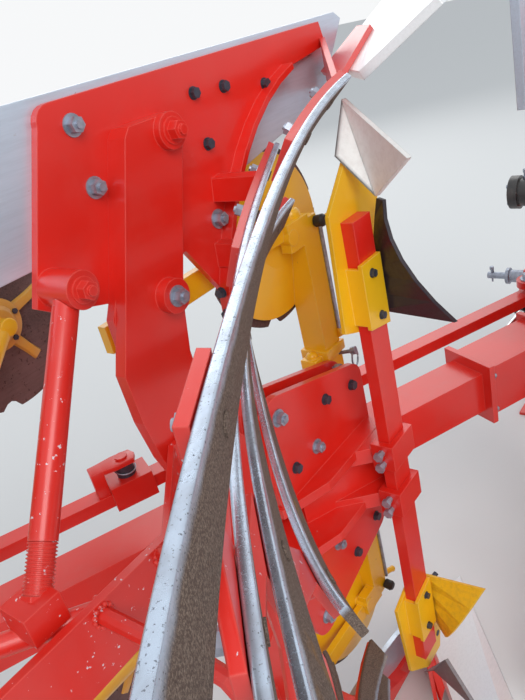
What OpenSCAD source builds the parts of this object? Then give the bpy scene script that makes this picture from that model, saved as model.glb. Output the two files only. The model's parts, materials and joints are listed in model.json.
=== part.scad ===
// Mounted reversible mouldboard plough with three furrows and slatted mouldboards.
// +X is the direction of travel, +Y is left, +Z is up, z = 0 is the ground.
// A station's own frame has its origin on its pivot pin, at the middle of the beam's height.
// Upper tools are drawn at +Z, and lower tools are their mirror image.

/* [Beam] */
// Height and width of the main beam
beam_w = 100; // [90:5:120]
// Height and width of the front sleeve of the beam
sleeve_w = 125; // [125:5:150]
// Angle of the beam to the direction of travel, in degrees
beam_angle = 26; // [24:0.5:28]
// Distance between stations along the beam
station_pitch = 915; // [880:5:960]
// Height of the beam's middle above the soles
sole_drop = 860; // [820:5:900]
// Length of the beam ahead of the front station's pin
beam_front = 445; // [420:5:480]
// Length of the beam behind the rear station's pin
beam_rear = 400; // [360:5:460]
// Radius of a station's pivot pin
pin_r = 30; // [26:1:34]
// Gap between a bracket plate and the beam's face
plate_gap = 5; // [4:0.5:8]
// Thickness of the bracket's plates
plate_t = 20; // [16:1:26]

/* [Width rod] */
// Distance of the rod's pins from the beam's middle line
rod_off = 200; // [190:5:220]
// Width of the rod
rod_w = 44; // [36:2:52]
// Height of the rod
rod_h = 30; // [24:2:34]
// Radius of the rod's pins
rod_pin_r = 14; // [11:1:16]

/* [Legs and bodies] */
// Thickness of a leg
leg_t = 36; // [30:1:42]
// Thickness of the frog plate
frog_t = 12; // [10:1:16]
// Thickness of the landside
landside_t = 14; // [10:1:16]
// Height of the landside
landside_h = 195; // [160:5:210]
// Thickness of the share
share_t = 12; // [10:1:16]
// Thickness of a mouldboard slat
slat_t = 10; // [8:1:14]
// Width of a mouldboard slat
slat_w = 62; // [54:1:70]
// Radius of the tail stay
stay_r = 17; // [14:1:20]

/* [Skimmers and coulters] */
// Width of the skimmer stalk, along the direction of travel
stalk_w = 60; // [50:2:70]
// Thickness of the skimmer stalk
stalk_t = 25; // [20:1:30]
// Radius of a coulter disc
disc_r = 180; // [160:5:200]
// Thickness of a coulter disc
disc_t = 5; // [4:0.5:8]
// Side of the coulter stem's square tube
stem_w = 56; // [46:2:60]

/* [Headstock] */
// Distance between the shoulders of the lower link pins
link_span = 825; // [820:5:870]
// Radius of a lower link pin
link_r = 14; // [11:0.5:18]
// Height of the lower link pins above the ground
link_z = 560; // [520:5:600]
// Height of the top link hole above the lower link pins
mast_h = 610; // [580:5:685]
// Radius of the top link hole
top_hole_r = 12.9; // [10:0.1:16]
// Radius of the turnover shaft
shaft_r = 65; // [55:1:75]

/* [Depth wheel] */
// Radius of the tyre
tyre_r = 300; // [270:5:320]
// Width of the tyre
tyre_w = 190; // [160:5:220]
// Radius of the wheel's rim
rim_r = 175; // [160:5:190]

/* [Hidden] */
$fn = 48;
STATIONS = [1, 2, 3];

// Overall place of the model: the middle of its box stands over the origin
origin_x = -134.457;
origin_y = 89.284;
run_clear = 0.1;
seat_clear = 0.3;

// Directions along the beam and across it, to the left
along = [cos(beam_angle), -sin(beam_angle)];
across = [sin(beam_angle), cos(beam_angle)];
// First landside is this far right of the turnover axis
first_landside_y = -180;
mid_pin = [0, first_landside_y + station_pitch * sin(beam_angle)];
function on_beam(t, d) = mid_pin + t * along + d * across;
function station_pin(k) = on_beam((2 - k) * station_pitch, 0);
plate_z = beam_w / 2 + plate_gap;
plate_top = plate_z + plate_t;

// Leg, frog and landside lie side by side across the travel
leg_y = -(frog_t + 3);
stalk_c = [12, -156];

function lerp(a, b, u) = a + (b - a) * u;
function bez(a, b, c, u) = (1 - u) * (1 - u) * a + 2 * u * (1 - u) * b + u * u * c;

// Slats: four points that steer the front upper edge, and the lean of the face from upright at each end
SLATS = [
  [[[-22, -212, -83.5], [-344, -288, -100], [-790, -526, -170], [-967, -653, -188]], [48.6, -13]],
  [[[-19, -54, -173], [-431, -272, -205], [-601, -353, -243], [-957, -719, -280]], [35, -2]],
  [[[-22, -63, -270], [-321, -127, -289], [-583, -355, -310], [-914, -704, -351]], [35, -24]],
  [[[-181, -30, -380], [-219, -75, -402], [-560, -341, -436], [-626, -479, -456]], [10, -20]]];
slat_steps = 14;
function cubic(p, u) =
  pow(1 - u, 3) * p[0] + 3 * pow(1 - u, 2) * u * p[1] + 3 * (1 - u) * u * u * p[2] + pow(u, 3) * p[3];
function unit(v) = v / norm(v);
function slat_run(row, u) = unit(cubic(row[0], u + 0.01) - cubic(row[0], u - 0.01));
function slat_back(row, u) =
  let (r = slat_run(row, u), a = lerp(row[1][0], row[1][1], u))
  unit(unit([-r[1], r[0], 0]) * (r[0] < 0 ? -1 : 1) * cos(a) + [0, 0, sin(a)]);
function slat_down(row, u) =
  let (c = unit(cross(slat_back(row, u), slat_run(row, u))))
  c[2] < 0 ? c : -c;
// A point of a slat's section: u along it, v down its width, d behind its front face
function slat_at(row, u, v, d) =
  cubic(row[0], u) + [0, 0, sole_drop] + slat_down(row, u) * v + slat_back(row, u) * d;

// A solid through rings of points, closed at both ends
module swept(rings) {
  n = len(rings);
  m = len(rings[0]);
  pts = [for (r = rings) each r];
  faces = concat(
    [for (i = [0:n - 2]) for (j = [0:m - 1]) [i * m + j, i * m + (j + 1) % m, (i + 1) * m + (j + 1) % m]],
    [for (i = [0:n - 2]) for (j = [0:m - 1]) [i * m + j, (i + 1) * m + (j + 1) % m, (i + 1) * m + j]],
    [for (j = [1:m - 2]) [0, j + 1, j]],
    [for (j = [1:m - 2]) [(n - 1) * m, (n - 1) * m + j, (n - 1) * m + j + 1]]);
  outward = sum_of([for (f = faces) cross(pts[f[0]], pts[f[1]]) * pts[f[2]]]);
  polyhedron(pts, outward < 0 ? faces : [for (f = faces) [f[2], f[1], f[0]]], convexity = 6);
}

function sum_of(v, i = 0) = i < len(v) ? v[i] + sum_of(v, i + 1) : 0;

module slat(row) {
  swept([for (i = [0:slat_steps]) let (u = i / slat_steps)
    [slat_at(row, u, 0, 0), slat_at(row, u, slat_w, 0), slat_at(row, u, slat_w, slat_t), slat_at(row, u, 0, slat_t)]]);
}

// Beam details
eye_r = 62;
pivot_t = station_pitch + beam_front - 60;
beam_pivot = on_beam(pivot_t, 0);
rear_end = on_beam(-station_pitch - beam_rear, 0);
sleeve_t0 = 400;
sleeve_t1 = 650;
collar_t = 14;
collar_w = sleeve_w + 26;
side_d = beam_w / 2 + 22;
side_t = 18;
ear_t = 14;
leg_base = plate_top + 2;
stalk_half = 545;

// Rod details
arm_t_off = -100;
rod_z = 10;
clevis_t = -400;

// Carrier and width cylinder details
cross_x0 = beam_pivot[0] + eye_r + 9;
cross_x1 = cross_x0 + 85;
cross_h = 180;
fork_z = beam_w / 2 + 2;
fork_t = 24;
cyl_z = -34;
eye_h = 28;
eye_outer = 28;
cyl_pin_r = 13;
lug_gap = 1;
lug_plate = 11;
drift_clear = 4;
barrel_r = 28;
barrel_l = 350;
piston_r = 13;
piston_in = 150;
lug_t = 590;
lug_d = 125;
barrel_pin = [cross_x0 - 48, 62];
cyl_vec = on_beam(lug_t, lug_d) - barrel_pin;

// Headstock details
drive_x0 = cross_x1 + 45;
drive_x1 = drive_x0 + 200;
drive_r = 105;
rack_x = drive_x0 + 90;
rack_z = 122;
rack_r = 50;
rack_half = 300;
hitch_x = drive_x1 + 95;
link_half = 330;
cheek_y = drive_r + seat_clear;
cheek_t = 16;
mast_gap = 62;
mast_t = 18;
top_x = hitch_x - 25;
stand_w = 60;
stand_pin_r = 15;
stand_x = hitch_x - 115;
stand_y = 245;

// Depth wheel details
wheel_pivot_x = rear_end[0] - 45;
mount_y = rear_end[1] + 22;
arm_y = mount_y + 2;
arm_t = 38;
wheel_y = arm_y + arm_t + 28 + tyre_w / 2;
axle = [wheel_pivot_x - 470, tyre_r - sole_drop];
wheel_arm_l = norm(axle - [wheel_pivot_x, 0]);
wheel_rest = atan2(-axle[1], wheel_pivot_x - axle[0]);
axle_r = 20;

// Coulters: the rear one stands ahead of its body on a longer arm
stem_y = 33;
stem_x = 98;
function disc_at(k) = k == 3 ? [463, 74, 464] : [38, 74, 496];

function arc(c, r, a0, a1, n) = [for (i = [0:n]) c + r * [cos(lerp(a0, a1, i / n)), sin(lerp(a0, a1, i / n))]];

module both_sides() {
  children();
  mirror([0, 0, 1]) children();
}

module row_place() {
  translate([-origin_x, -origin_y, sole_drop]) children();
}

module at_station(k) {
  row_place() translate([station_pin(k)[0], station_pin(k)[1], 0]) children();
}

module along_beam() {
  translate([mid_pin[0], mid_pin[1], 0]) rotate([0, 0, -beam_angle]) children();
}

// A flat plate standing along the travel: an outline in X and Z, from y0 to y0 + t
module upright(points, y0, t) {
  translate([0, y0 + t, 0]) rotate([90, 0, 0]) linear_extrude(t) polygon(points);
}

module flat(points, z0, t) {
  translate([0, 0, z0]) linear_extrude(t) polygon(points);
}

module cross_pin(x, z, y0, y1, r) {
  translate([x, y0, z]) rotate([-90, 0, 0]) cylinder(r = r, h = y1 - y0);
}

module long_pin(x0, x1, y, z, r) {
  translate([x0, y, z]) rotate([0, 90, 0]) cylinder(r = r, h = x1 - x0);
}

module box(low, high) {
  translate(low) cube(high - low);
}

module rod_between(a, b, r) {
  v = b - a;
  l = norm(v);
  translate(a) rotate([0, acos(v[2] / l), atan2(v[1], v[0])]) cylinder(r = r, h = l);
}

// Beam: pinned at the front, with a station every pitch and a spliced sleeve

module beam() {
  color([0.86, 0.14, 0.11]) row_place() {
    along_beam() {
      difference() {
        union() {
          box([-station_pitch - beam_rear, -beam_w / 2, -beam_w / 2], [pivot_t, beam_w / 2, beam_w / 2]);
          translate([pivot_t, 0, -beam_w / 2]) cylinder(r = eye_r, h = beam_w);
          box([sleeve_t0, -sleeve_w / 2, -sleeve_w / 2], [sleeve_t1, sleeve_w / 2, sleeve_w / 2]);
          for (t = [sleeve_t0, sleeve_t1 - collar_t])
            box([t, -collar_w / 2, -collar_w / 2], [t + collar_t, collar_w / 2, collar_w / 2]);
          for (k = STATIONS) translate([(2 - k) * station_pitch, 0, 0]) station_pivot();
          for (s = [-1, 1])
            translate([lug_t, 0, cyl_z + s * (eye_h / 2 + lug_gap + lug_plate / 2)])
              lug(sleeve_w / 2 - 2, lug_d, eye_outer, lug_plate);
          translate([lug_t, lug_d, cyl_z - eye_h / 2 - lug_gap - lug_plate])
            cylinder(r = cyl_pin_r, h = eye_h + 2 * lug_gap + 2 * lug_plate);
        }
        translate([pivot_t, 0, -beam_w]) cylinder(r = pin_r + run_clear, h = 2 * beam_w);
      }
    }
    wheel_mount();
  }
}

module lug(d0, d1, r, t) {
  box([-r, d0, -t / 2], [r, d1, t / 2]);
  translate([0, d1, -t / 2]) cylinder(r = r, h = t);
}

module station_pivot() {
  both_sides() {
    translate([0, 0, beam_w / 2 - 1]) cylinder(r = pin_r + 24, h = plate_gap + 1 - seat_clear);
    translate([0, 0, beam_w / 2 - 1]) cylinder(r = pin_r, h = plate_gap + plate_t + 1 + seat_clear);
    translate([0, 0, plate_top + seat_clear]) cylinder(r = pin_r + 14, h = 12);
  }
}

module wheel_mount() {
  box([wheel_pivot_x - 55, rear_end[1] - 60, -70], [rear_end[0] + 25, mount_y, 70]);
  cross_pin(wheel_pivot_x, 0, mount_y - 1, arm_y + arm_t + 1, 24);
  cross_pin(wheel_pivot_x, 0, arm_y + arm_t + 1, arm_y + arm_t + 11, 38);
}

// Rod that keeps the stations parallel, with an eye over each station's arm

module width_rod() {
  color([0.84, 0.13, 0.11]) row_place() along_beam() {
    difference() {
      union() {
        box([arm_t_off - station_pitch, rod_off - rod_w / 2, rod_z],
          [arm_t_off + station_pitch, rod_off + rod_w / 2, rod_z + rod_h]);
        for (k = STATIONS) translate([arm_t_off + (2 - k) * station_pitch, rod_off, rod_z])
          cylinder(r = rod_w / 2 + 8, h = rod_h);
        box([clevis_t - 48, rod_off - rod_w / 2 - 14, rod_z - 8],
          [clevis_t + 48, rod_off + rod_w / 2 + 14, rod_z + rod_h + 22]);
        translate([clevis_t, rod_off, rod_z - 20]) cylinder(r = rod_pin_r, h = rod_h + 90);
      }
      for (k = STATIONS) translate([arm_t_off + (2 - k) * station_pitch, rod_off, rod_z - 1])
        cylinder(r = rod_pin_r + run_clear, h = rod_h + 2);
    }
  }
}

// Carrier: turnover shaft, crosshead and the fork that holds the beam

module carrier() {
  color([0.84, 0.13, 0.11]) row_place() {
    box([cross_x0, beam_pivot[1] - 85, -cross_h / 2], [cross_x1, 150, cross_h / 2]);
    both_sides() {
      fork_plate();
      translate([beam_pivot[0], beam_pivot[1], fork_z - 1]) cylinder(r = 48, h = fork_t + 9);
    }
    translate([beam_pivot[0], beam_pivot[1], -fork_z - 1]) cylinder(r = pin_r, h = 2 * fork_z + 2);
    long_pin(cross_x1 - 1, cross_x1 + 20, 0, 0, 125);
    long_pin(cross_x1 + 19, drive_x1 + 30, 0, 0, shaft_r);
    for (s = [-1, 1]) barrel_lug(s);
    translate([barrel_pin[0], barrel_pin[1], cyl_z - eye_h / 2 - lug_gap - lug_plate])
      cylinder(r = cyl_pin_r, h = eye_h + 2 * lug_gap + 2 * lug_plate);
  }
}

module fork_plate() {
  flat([[beam_pivot[0], beam_pivot[1] - 75], [cross_x0 + 1, beam_pivot[1] - 84],
    [cross_x0 + 1, beam_pivot[1] + 150], [beam_pivot[0], beam_pivot[1] + 75]], fork_z, fork_t);
  translate([beam_pivot[0], beam_pivot[1], fork_z]) cylinder(r = 75, h = fork_t);
}

module barrel_lug(s) {
  z0 = cyl_z + s * (eye_h / 2 + lug_gap + lug_plate / 2) - lug_plate / 2;
  box([barrel_pin[0], barrel_pin[1] - eye_outer, z0], [cross_x0 + 1, barrel_pin[1] + eye_outer, z0 + lug_plate]);
  translate([barrel_pin[0], barrel_pin[1], z0]) cylinder(r = eye_outer, h = lug_plate);
}

// Cylinder that sets the working width

module cyl_place() {
  row_place() translate([barrel_pin[0], barrel_pin[1], cyl_z])
    rotate([0, 0, atan2(cyl_vec[1], cyl_vec[0])]) children();
}

module width_barrel() {
  color([0.12, 0.12, 0.13]) cyl_place() difference() {
    union() {
      translate([0, 0, -eye_h / 2]) cylinder(r = eye_outer, h = eye_h);
      long_pin(eye_outer - 8, eye_outer + 6, 0, 0, eye_h / 2 - 1);
      long_pin(eye_outer + 5, barrel_l, 0, 0, barrel_r);
      long_pin(barrel_l - 22, barrel_l, 0, 0, barrel_r + 4);
    }
    translate([0, 0, -eye_h]) cylinder(r = cyl_pin_r + run_clear, h = 2 * eye_h);
    long_pin(eye_outer + 14, barrel_l + 1, 0, 0, piston_r + run_clear);
  }
}

module width_piston() {
  color([0.75, 0.76, 0.78]) cyl_place() difference() {
    union() {
      long_pin(piston_in, norm(cyl_vec) - eye_outer + 8, 0, 0, piston_r);
      translate([norm(cyl_vec), 0, -eye_h / 2]) cylinder(r = eye_outer, h = eye_h);
    }
    translate([norm(cyl_vec), 0, -eye_h]) cylinder(r = cyl_pin_r + drift_clear, h = 2 * eye_h);
  }
}

// Headstock: cheeks, link beam and mast head

module headstock() {
  color([0.84, 0.13, 0.11]) translate([-origin_x, -origin_y, 0]) {
    for (s = [-1, 1]) cheek(s);
    difference() {
      for (s = [-1, 1]) mast_lug(s);
      cross_pin(top_x, link_z + mast_h, -100, 100, top_hole_r);
    }
    box([hitch_x - 85, -cheek_y - 1, link_z + mast_h - 125], [hitch_x + 40, cheek_y + 1, link_z + mast_h - 107]);
    box([hitch_x - 45, -link_half, link_z - 45], [hitch_x + 45, link_half, link_z + 45]);
    difference() {
      box([drive_x1 - 20, -cheek_y - 1, sole_drop - 150], [drive_x1, cheek_y + 1, sole_drop + 170]);
      long_pin(drive_x1 - 40, drive_x1 + 20, 0, sole_drop, drive_r + seat_clear);
    }
    box([hitch_x - 80, stand_y - 42, link_z - 45], [hitch_x - 44, stand_y + 42, link_z + 60]);
    long_pin(stand_x - stand_w / 2 - 5, hitch_x - 79, stand_y, link_z, stand_pin_r);
    long_pin(stand_x - stand_w / 2 - 14, stand_x - stand_w / 2 - 4, stand_y, link_z, stand_pin_r + 10);
  }
}

module cheek(s) {
  y0 = s > 0 ? cheek_y : -cheek_y - cheek_t;
  upright([[drive_x1 - 30, sole_drop - 160], [drive_x1 - 30, sole_drop + 130], [hitch_x - 90, link_z + mast_h - 90],
    [hitch_x + 40, link_z + mast_h - 90], [hitch_x + 62, sole_drop - 60], [hitch_x + 62, link_z - 40],
    [hitch_x + 40, link_z - 62], [hitch_x - 40, link_z - 62]], y0, cheek_t);
}

module mast_lug(s) {
  y0 = s > 0 ? mast_gap / 2 : -mast_gap / 2 - mast_t;
  z = link_z + mast_h;
  upright(concat([[top_x - 62, z - 108], [top_x - 45, z]],
    arc([top_x, z], 45, 180, 0, 10), [[top_x + 50, z - 108]]), y0, mast_t);
}

module link_pins() {
  color([0.72, 0.72, 0.74]) translate([-origin_x, -origin_y, 0])
    for (s = [0, 1]) mirror([0, s, 0]) {
      cross_pin(hitch_x, link_z, link_half, link_span / 2 - 12, link_r + 12);
      cross_pin(hitch_x, link_z, link_span / 2 - 13, link_span / 2, link_r + 20);
      cross_pin(hitch_x, link_z, link_span / 2 - 1, link_span / 2 + 80, link_r);
    }
}

// Turnover drive: a bearing housing with a rack tube across it

module turnover_drive() {
  color([0.13, 0.13, 0.14]) translate([-origin_x, -origin_y, sole_drop]) {
    difference() {
      union() {
        long_pin(drive_x0, drive_x1, 0, 0, drive_r);
        long_pin(drive_x0, drive_x0 + 24, 0, 0, drive_r + 14);
        translate([0, 0, rack_z]) cross_pin(rack_x, 0, -rack_half, rack_half, rack_r);
        for (s = [-1, 1]) translate([0, s * (rack_half - 16), rack_z])
          cross_pin(rack_x, 0, -16, 16, rack_r + 9);
        box([rack_x - 50, -75, 40], [rack_x + 50, 75, rack_z + 20]);
      }
      long_pin(drive_x0 - 5, drive_x1 + 5, 0, 0, shaft_r + run_clear);
    }
  }
}

module stand() {
  color([0.84, 0.13, 0.11]) translate([-origin_x, -origin_y, 0]) difference() {
    union() {
      box([stand_x - stand_w / 2, stand_y - stand_w / 2, 10],
        [stand_x + stand_w / 2, stand_y + stand_w / 2, link_z + 45]);
      box([stand_x - 75, stand_y - 85, 0], [stand_x + 75, stand_y + 85, 12]);
    }
    long_pin(stand_x - stand_w, stand_x + stand_w, stand_y, link_z, stand_pin_r + run_clear);
  }
}

// Depth wheel on a swinging arm

module wheel_arm() {
  color([0.84, 0.13, 0.11]) row_place() {
    difference() {
      union() {
        translate([wheel_pivot_x, arm_y, 0]) rotate([0, -wheel_rest, 0]) {
          box([-wheel_arm_l, 0, -42], [0, arm_t, 42]);
          cross_pin(0, 0, 0, arm_t, 56);
          cross_pin(-wheel_arm_l, 0, 0, arm_t, 50);
        }
      }
      cross_pin(wheel_pivot_x, 0, arm_y - 5, arm_y + arm_t + 5, 24 + run_clear);
    }
    cross_pin(axle[0], axle[1], arm_y + arm_t - 1, wheel_y + tyre_w / 2 - 10, axle_r);
    cross_pin(axle[0], axle[1], wheel_y + tyre_w / 2 - 11, wheel_y + tyre_w / 2, axle_r + 12);
  }
}

module wheel_place() {
  row_place() translate([axle[0], wheel_y, axle[1]]) rotate([-90, 0, 0]) children();
}

module wheel_rim() {
  color([0.9, 0.9, 0.88]) wheel_place() rotate_extrude($fn = 96)
    polygon([[axle_r + run_clear, -62], [axle_r + 26, -62], [axle_r + 26, -6], [rim_r - 34, 14], [rim_r - 24, -70],
      [rim_r - 12, -74], [rim_r, -74], [rim_r, -62], [rim_r - 10, -54], [rim_r - 10, 54], [rim_r, 62], [rim_r, 74],
      [rim_r - 12, 74], [rim_r - 26, 30], [axle_r + 26, 10], [axle_r + 26, 76], [axle_r + run_clear, 76]]);
}

module wheel_tyre() {
  h = tyre_w / 2;
  color([0.08, 0.08, 0.08]) wheel_place() rotate_extrude($fn = 96)
    polygon(concat([[rim_r + 0.3, -72]], [[rim_r + 34, -h + 6]], [[tyre_r - 60, -h]],
      arc([tyre_r - 46, -h + 46], 46, -90, -15, 6), arc([tyre_r - 46, h - 46], 46, 15, 90, 6),
      [[tyre_r - 60, h]], [[rim_r + 34, h - 6]], [[rim_r + 0.3, 72]]));
}

// Station bracket: two plates on the pivot pin, ears for the legs, holders for the stalk

module bracket() {
  color([0.86, 0.14, 0.11]) {
    both_sides() {
      difference() {
        union() {
          flat([[-255, -66], [-255, 0], [-100, 62], [60, 70], [95, 10], [85, -60], [40, -105], [-150, -105]],
            plate_z, plate_t);
          translate([0, 0, plate_z]) cylinder(r = 82, h = plate_t);
        }
        translate([0, 0, plate_z - 1]) cylinder(r = pin_r + run_clear, h = plate_t + 2);
      }
      for (y = [leg_y - leg_t - seat_clear - ear_t, leg_y + seat_clear]) difference() {
        ear(y);
        translate([0, 0, plate_z - 1]) cylinder(r = pin_r + 14 + 2, h = plate_t + 18);
      }
      stalk_holder();
    }
    rotate([0, 0, -beam_angle])
      box([-125, -side_d - side_t, -plate_z - 1], [95, -side_d, plate_z + 1]);
    rod_arm();
  }
}

module ear(y0) {
  upright(concat([[-250, plate_top - 1]], [[-262, 150]], arc([-205, 250], 42, 170, 75, 6),
    arc([40, 178], 40, 75, 0, 6), [[80, plate_top - 1]]), y0, ear_t);
}

module stalk_holder() {
  p = stalk_c;
  difference() {
    union() {
      box([p[0] - stalk_w / 2 - 14, p[1] - stalk_t / 2 - 12, 30],
        [p[0] + stalk_w / 2 + 14, p[1] + stalk_t / 2 + 12, 88]);
      flat([p + [-36, 20], p + [40, 20], 90 * along - side_d * across, -60 * along - side_d * across,
        -60 * along - (side_d + 15) * across], 40, 34);
    }
    box([p[0] - stalk_w / 2 - seat_clear, p[1] - stalk_t / 2 - seat_clear, 20],
      [p[0] + stalk_w / 2 + seat_clear, p[1] + stalk_t / 2 + seat_clear, 120]);
  }
}

module rod_arm() {
  q = arm_t_off * along + rod_off * across;
  flat([[-70, 40], q + [-31, -10], q + [31, -10], [60, 50]], plate_z, plate_t);
  translate([q[0], q[1], plate_z]) cylinder(r = 34, h = plate_t);
  translate([q[0], q[1], rod_z - 12]) cylinder(r = rod_pin_r, h = plate_z - rod_z + 13);
  translate([q[0], q[1], rod_z - 12]) cylinder(r = rod_pin_r + 10, h = 12 - seat_clear);
}

// Leg: a thick plate in the shape of a C, from the bracket to the frog

module legs() {
  color([0.86, 0.14, 0.11]) both_sides() {
    leg_plate([[-190, leg_base], [-480, 150], [-472, sole_drop - 372]], [], leg_y - leg_t, leg_t - leg_step);
    leg_plate([[-190, leg_base], [-450, 150], [-446, sole_drop - 372]],
      [[-445, sole_drop - 300], [-434, sole_drop - 282]], leg_y - leg_step, leg_step);
    cross_pin(-353, sole_drop - 301, leg_y - leg_t - 18, leg_y - leg_t + 1, 26);
    cross_pin(-268, sole_drop - 87, leg_y - leg_t - 12, leg_y - leg_t + 1, 26);
  }
}

leg_step = 15;

module leg_plate(rear, shoulder, y, t) {
  s = sole_drop;
  upright(concat([for (i = [0:8]) bez(rear[0], rear[1], rear[2], i / 8)], shoulder,
    [[-429, s - 273], [-346, s - 76], [-334, s - 64], [-246, s - 64], [-232, s - 80], [-328, s - 320]],
    [for (i = [0:8]) bez([-344, s - 398], [-356, 210], [-54, leg_base + 60], i / 8)], [[-54, leg_base]]), y, t);
}

// Frog: the plate between leg and landside, with the straps that carry the slats

module frogs() {
  s = sole_drop;
  edge = [for (i = [0:8]) bez([86, s - 68], [-110, s - 120], [-205, s - 363], i / 8)];
  color([0.86, 0.14, 0.11]) both_sides() {
    upright(concat([[-538, s - 238], [-446, s - 34]], arc([-420, s - 36], 26, 160, 90, 4), [[222, s - 8], [234, s - 50]],
      edge, [[-262, s - 270], [-425, s - 282], [-515, s - 254]]), leg_y, frog_t);
    upright(concat(edge, [[-210, s - 410], [-220, s - 410]],
      [for (i = [8:-1:0]) bez([84, s - 58], [-119, s - 112], [-215, s - 363], i / 8)]), leg_y - rim_h, rim_h + 1);
    cross_pin(-505, s - 222, leg_y - 62, leg_y + 1, 25);
    for (i = [0:3]) slat_strap(SLATS[i], i == 0 ? 4 : 5);
    strap_rib(SLATS[1], 0.1);
    strap_rib(SLATS[2], 0.17);
    wing();
    share_seat();
  }
}

rim_h = 22;

// Wing from the frog plate to the upper strap
module wing() {
  s = sole_drop;
  swept([[[-30, -182, s - 95], [-24, -190, s - 95], [-24, -190, s - 82], [-30, -182, s - 82]],
    [[218, -14, s - 120], [224, -22, s - 120], [224, -22, s - 36], [218, -14, s - 36]]]);
}

// Seat on the back of the share, drawn out to a point
module share_seat() {
  n0 = unit(cross(SHARE_BACK[3] - SHARE_BACK[0], SHARE_BACK[4] - SHARE_BACK[0]));
  n = n0[2] < 0 ? -n0 : n0;
  q = [on_share(-0.12, 0.08), on_share(0.5, 0.12), on_share(0.5, 1), on_share(-0.12, 0.72)];
  share_plate([for (p = q) p + n * seat_clear], [for (p = q) p + n * (seat_clear + strap_t)]);
}

strap_d = slat_t + seat_clear;
strap_t = 10;

// Strap behind the front cells of a slat
module slat_strap(row, cells) {
  swept([for (i = [0:cells]) let (u = i / slat_steps)
    [slat_at(row, u, 4, strap_d + strap_t), slat_at(row, u, slat_w - 4, strap_d + strap_t),
      slat_at(row, u, slat_w - 4, strap_d), slat_at(row, u, 4, strap_d)]]);
}

// Rib welded to a strap and to the frog plate
module strap_rib(row, u) {
  d = strap_d + strap_t - 4;
  ring = [slat_at(row, u, 10, d), slat_at(row, u + 0.02, 10, d),
    slat_at(row, u + 0.02, slat_w - 10, d), slat_at(row, u, slat_w - 10, d)];
  swept([ring, [for (q = ring) [q[0], leg_y + 2, q[2]]]]);
}

module landsides() {
  s = sole_drop;
  color([0.72, 0.75, 0.8]) both_sides()
    upright([[-660, s - landside_h], [-668, s - 30], [-655, s], [300, s], [322, s - 14], [230, s - 120],
      [120, s - 160], [-60, s - landside_h]], leg_y + frog_t, landside_t);
}

// Share: from the tip back along the cutting edge to the wing

SHARE_BACK = [[510, -6, sole_drop], [120, -330, sole_drop], [50, -325, sole_drop - 4],
  [20, -200, sole_drop - 83], [250, -6, sole_drop - 90]];
SHARE_FACE = [[523, -6, sole_drop - 6], [130, -332, sole_drop - 3], [50, -333, sole_drop - 16],
  [20, -208, sole_drop - 97], [262, -6, sole_drop - 104]];

// A point on the back of the share: f towards the tip, g from the landside outwards
function on_share(f, g) = lerp(lerp(SHARE_BACK[4], SHARE_BACK[0], f), lerp(SHARE_BACK[3], SHARE_BACK[0], f), g);

module shares() {
  color([0.8, 0.82, 0.85]) both_sides() share_plate(SHARE_FACE, SHARE_BACK);
}

module share_plate(top, low) {
  swept([top, low]);
}

module slats() {
  color([0.62, 0.64, 0.68]) both_sides() for (row = SLATS) slat(row);
}

// Tail stay: a screwed rod to an arm beside the leg, and bent tubes that hold the slats' tails

module stays() {
  s = sole_drop;
  a = [-505, leg_y - 30, s - 222];
  e = [-755, -150, s - 494];
  arm_z = s - 608;
  color([0.86, 0.14, 0.11]) {
    both_sides() {
      difference() {
        rod_between(lerp(a, e, 0.04), lerp(a, e, 0.8), stay_r);
        cross_pin(a[0], a[2], leg_y - 70, leg_y + 5, 25 + seat_clear);
      }
      rod_between(lerp(a, e, 0.78), e, stay_r - 2);
      box(e - [24, 24, 18], e + [24, 24, 22]);
      y0 = leg_y - leg_t - seat_clear;
      swept([for (q = [[-390, y0], [-440, y0], [-590, -182], [-885, -182]])
        [[q[0], q[1], arm_z], [q[0], q[1] - 12, arm_z], [q[0], q[1] - 12, arm_z + 100], [q[0], q[1], arm_z + 100]]]);
      rod_between([-698, -189, arm_z + 82], [-840, -88, arm_z + 94], 13.5);
      stay_tie();
      rod_between([-638, -404, s - 482],
        slat_at(SLATS[3], (tie_cell[3] + 0.5) / slat_steps, slat_w / 2, strap_d + 6), 9);
    }
    stay_loop([[-706, -186, arm_z + 82], [-702, -260, s - 532], [-697, -325, s - 534], [-694, -362, s - 546],
      [-693, -384, s - 575], [-697, -392, s - 630], [-706, -394, s - 740]]);
    stay_loop([[-606, -186, arm_z + 83], [-622, -290, s - 472], [-636, -350, s - 436], [-643, -388, s - 432],
      [-641, -402, s - 460], [-640, -405, s - 530], [-652, -405, s - 610], [-660, -405, s - 740]]);
  }
}

tie_cell = [9, 11, 10, 12];

module stay_tie() {
  d = strap_d + 0.7;
  swept([for (i = [0:3]) for (v = [0, slat_w])
    let (row = SLATS[i], u = tie_cell[i] / slat_steps, w = (tie_cell[i] + 1) / slat_steps)
    [slat_at(row, w, v, d), slat_at(row, u, v, d), slat_at(row, u, v, d + strap_t), slat_at(row, w, v, d + strap_t)]]);
}

// A bent tube from the upper arm to the lower one
module stay_loop(half) {
  n = len(half) - 1;
  path = concat(half, [for (i = [n:-1:0]) [half[i][0], half[i][1], -half[i][2]]]);
  swept([for (i = [0:len(path) - 1])
    let (t = unit(path[min(i + 1, len(path) - 1)] - path[max(i - 1, 0)]), w = unit(cross(t, [1, 0, 0])), u = cross(w, t))
    [for (j = [0:9]) path[i] + (u * cos(36 * j) + w * sin(36 * j)) * (stay_r - 6)]]);
}

// Skimmers: one stalk through the bracket, a small body at each end

module stalk() {
  color([0.84, 0.13, 0.12])
    box([stalk_c[0] - stalk_w / 2, stalk_c[1] - stalk_t / 2, -stalk_half],
      [stalk_c[0] + stalk_w / 2, stalk_c[1] + stalk_t / 2, stalk_half]);
}

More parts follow.
